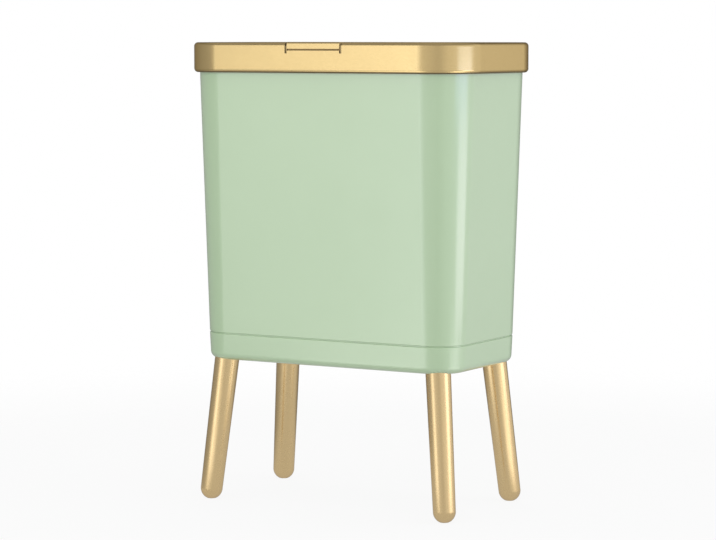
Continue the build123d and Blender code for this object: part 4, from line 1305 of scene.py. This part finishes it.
def make_world():
    """White to the camera, the studio in reflections, and an even light for the rest."""
    world = bpy.data.worlds.new("studio")
    bpy.context.scene.world = world
    tree = clear_tree(world)
    path = add_node(tree, "ShaderNodeLightPath").outputs
    way = add_node(tree, "ShaderNodeTexCoord").outputs["Generated"]
    sine = add_node(tree, "ShaderNodeSeparateXYZ", {"Vector": way}).outputs["Z"]
    upward = map_range(tree, sine, -1.0, 1.0)
    wide = heading_ramp(tree, way, WRAP, WRAP_PEAK)
    tall = ramp(tree, upward, [((s + 1) / 2, v) for s, v in WRAP_HEIGHT])
    walls = calculate(tree, "MULTIPLY", wide, tall)
    above = ramp(tree, upward, [((s + 1) / 2, v / WRAP_PEAK) for s, v in CEILING])
    studio = calculate(tree, "MAXIMUM", walls, above)
    background = "ShaderNodeBackground"
    plain = shine(tree, background, (*WHITE, 1), AMBIENT)
    wrap = shine(tree, background, studio, WRAP_PEAK)
    soft = mix_shaders(tree, mirror_ray(tree, path), plain, wrap)
    white = shine(tree, background, (*WHITE, 1), 1.0)
    final = mix_shaders(tree, path["Is Camera Ray"], soft, white)
    add_node(tree, "ShaderNodeOutputWorld", {"Surface": final})


def heading_place(heading, distance, height):
    angle = math.radians(heading)
    return Vector((math.sin(angle) * distance, -math.cos(angle) * distance, height))


def make_softbox(name, width, length, glow, mirrored, colour=WHITE):
    """A lamp that faces down. Its brightness is that of its surface, seen from the bin."""
    lamp = bpy.data.lights.new(name, "AREA")
    lamp.color = colour
    lamp.shape = "RECTANGLE"
    lamp.size = width
    lamp.size_y = length
    lamp.energy = glow * math.pi * width * length
    obj = add_object(name, lamp)
    obj.visible_glossy = mirrored
    return obj


def make_lamp(name, heading, distance, low, high, width, glow, mirrored, colour):
    """An upright softbox that faces the bin."""
    obj = make_softbox(name, width, high - low, glow, mirrored, colour)
    obj.location = heading_place(heading, distance, (low + high) / 2)
    aim = Vector((0, 0, (low + high) / 2)) - obj.location
    obj.rotation_euler = aim.to_track_quat("-Z", "Y").to_euler()


def make_camera():
    camera = bpy.data.cameras.new("camera")
    camera.sensor_width = SENSOR
    camera.lens = FOCAL_PIXELS / IMAGE_WIDTH * SENSOR
    camera.shift_x = (IMAGE_WIDTH / 2 - CENTRE_X) / IMAGE_WIDTH
    camera.shift_y = (CENTRE_Y - IMAGE_HEIGHT / 2) / IMAGE_WIDTH
    camera.dof.use_dof = False
    camera.clip_end = CAMERA_REACH
    obj = add_object("camera", camera)
    pitch = math.radians(CAMERA_PITCH)
    flat = heading_place(CAMERA_HEADING, CAMERA_DISTANCE * math.cos(pitch), 0)
    obj.location = TARGET + flat + Vector((0, 0, CAMERA_DISTANCE * math.sin(pitch)))
    obj.rotation_euler = (TARGET - obj.location).to_track_quat("-Z", "Y").to_euler()
    bpy.context.scene.camera = obj


dress_nodes()
make_bucket()
make_base()
for leg_name, (leg_foot, leg_top) in leg_axes().items():
    make_leg(leg_name + "_tube", leg_foot, leg_top)
make_rim()
make_button()
make_lid()
make_deck()
for hand in ("left", "right"):
    make_lid_spring("lid_spring_" + hand)
    make_button_spring("button_spring_" + hand)
make_screws("base_screws", "bin")
make_screws("rim_screws", "rim")
make_screws("deck_screws", "rim")
make_screws("latch_cover_screws", "rim")
make_screws("damper_screws", "rim", axis=1)
make_screws("lid_screws", "lid", countersunk=True)
make_screws("catch_screws", "lid", countersunk=True)
make_floor()
make_world()
for settings in LAMPS:
    make_lamp(*settings)
top_lamp = make_softbox("soft_top", TOP_LAMP_SIZE, TOP_LAMP_SIZE, TOP_LAMP_GLOW, False)
top_lamp.location = (0, 0, TOP_LAMP_HEIGHT)
make_camera()
bpy.context.scene.view_settings.view_transform = "Standard"
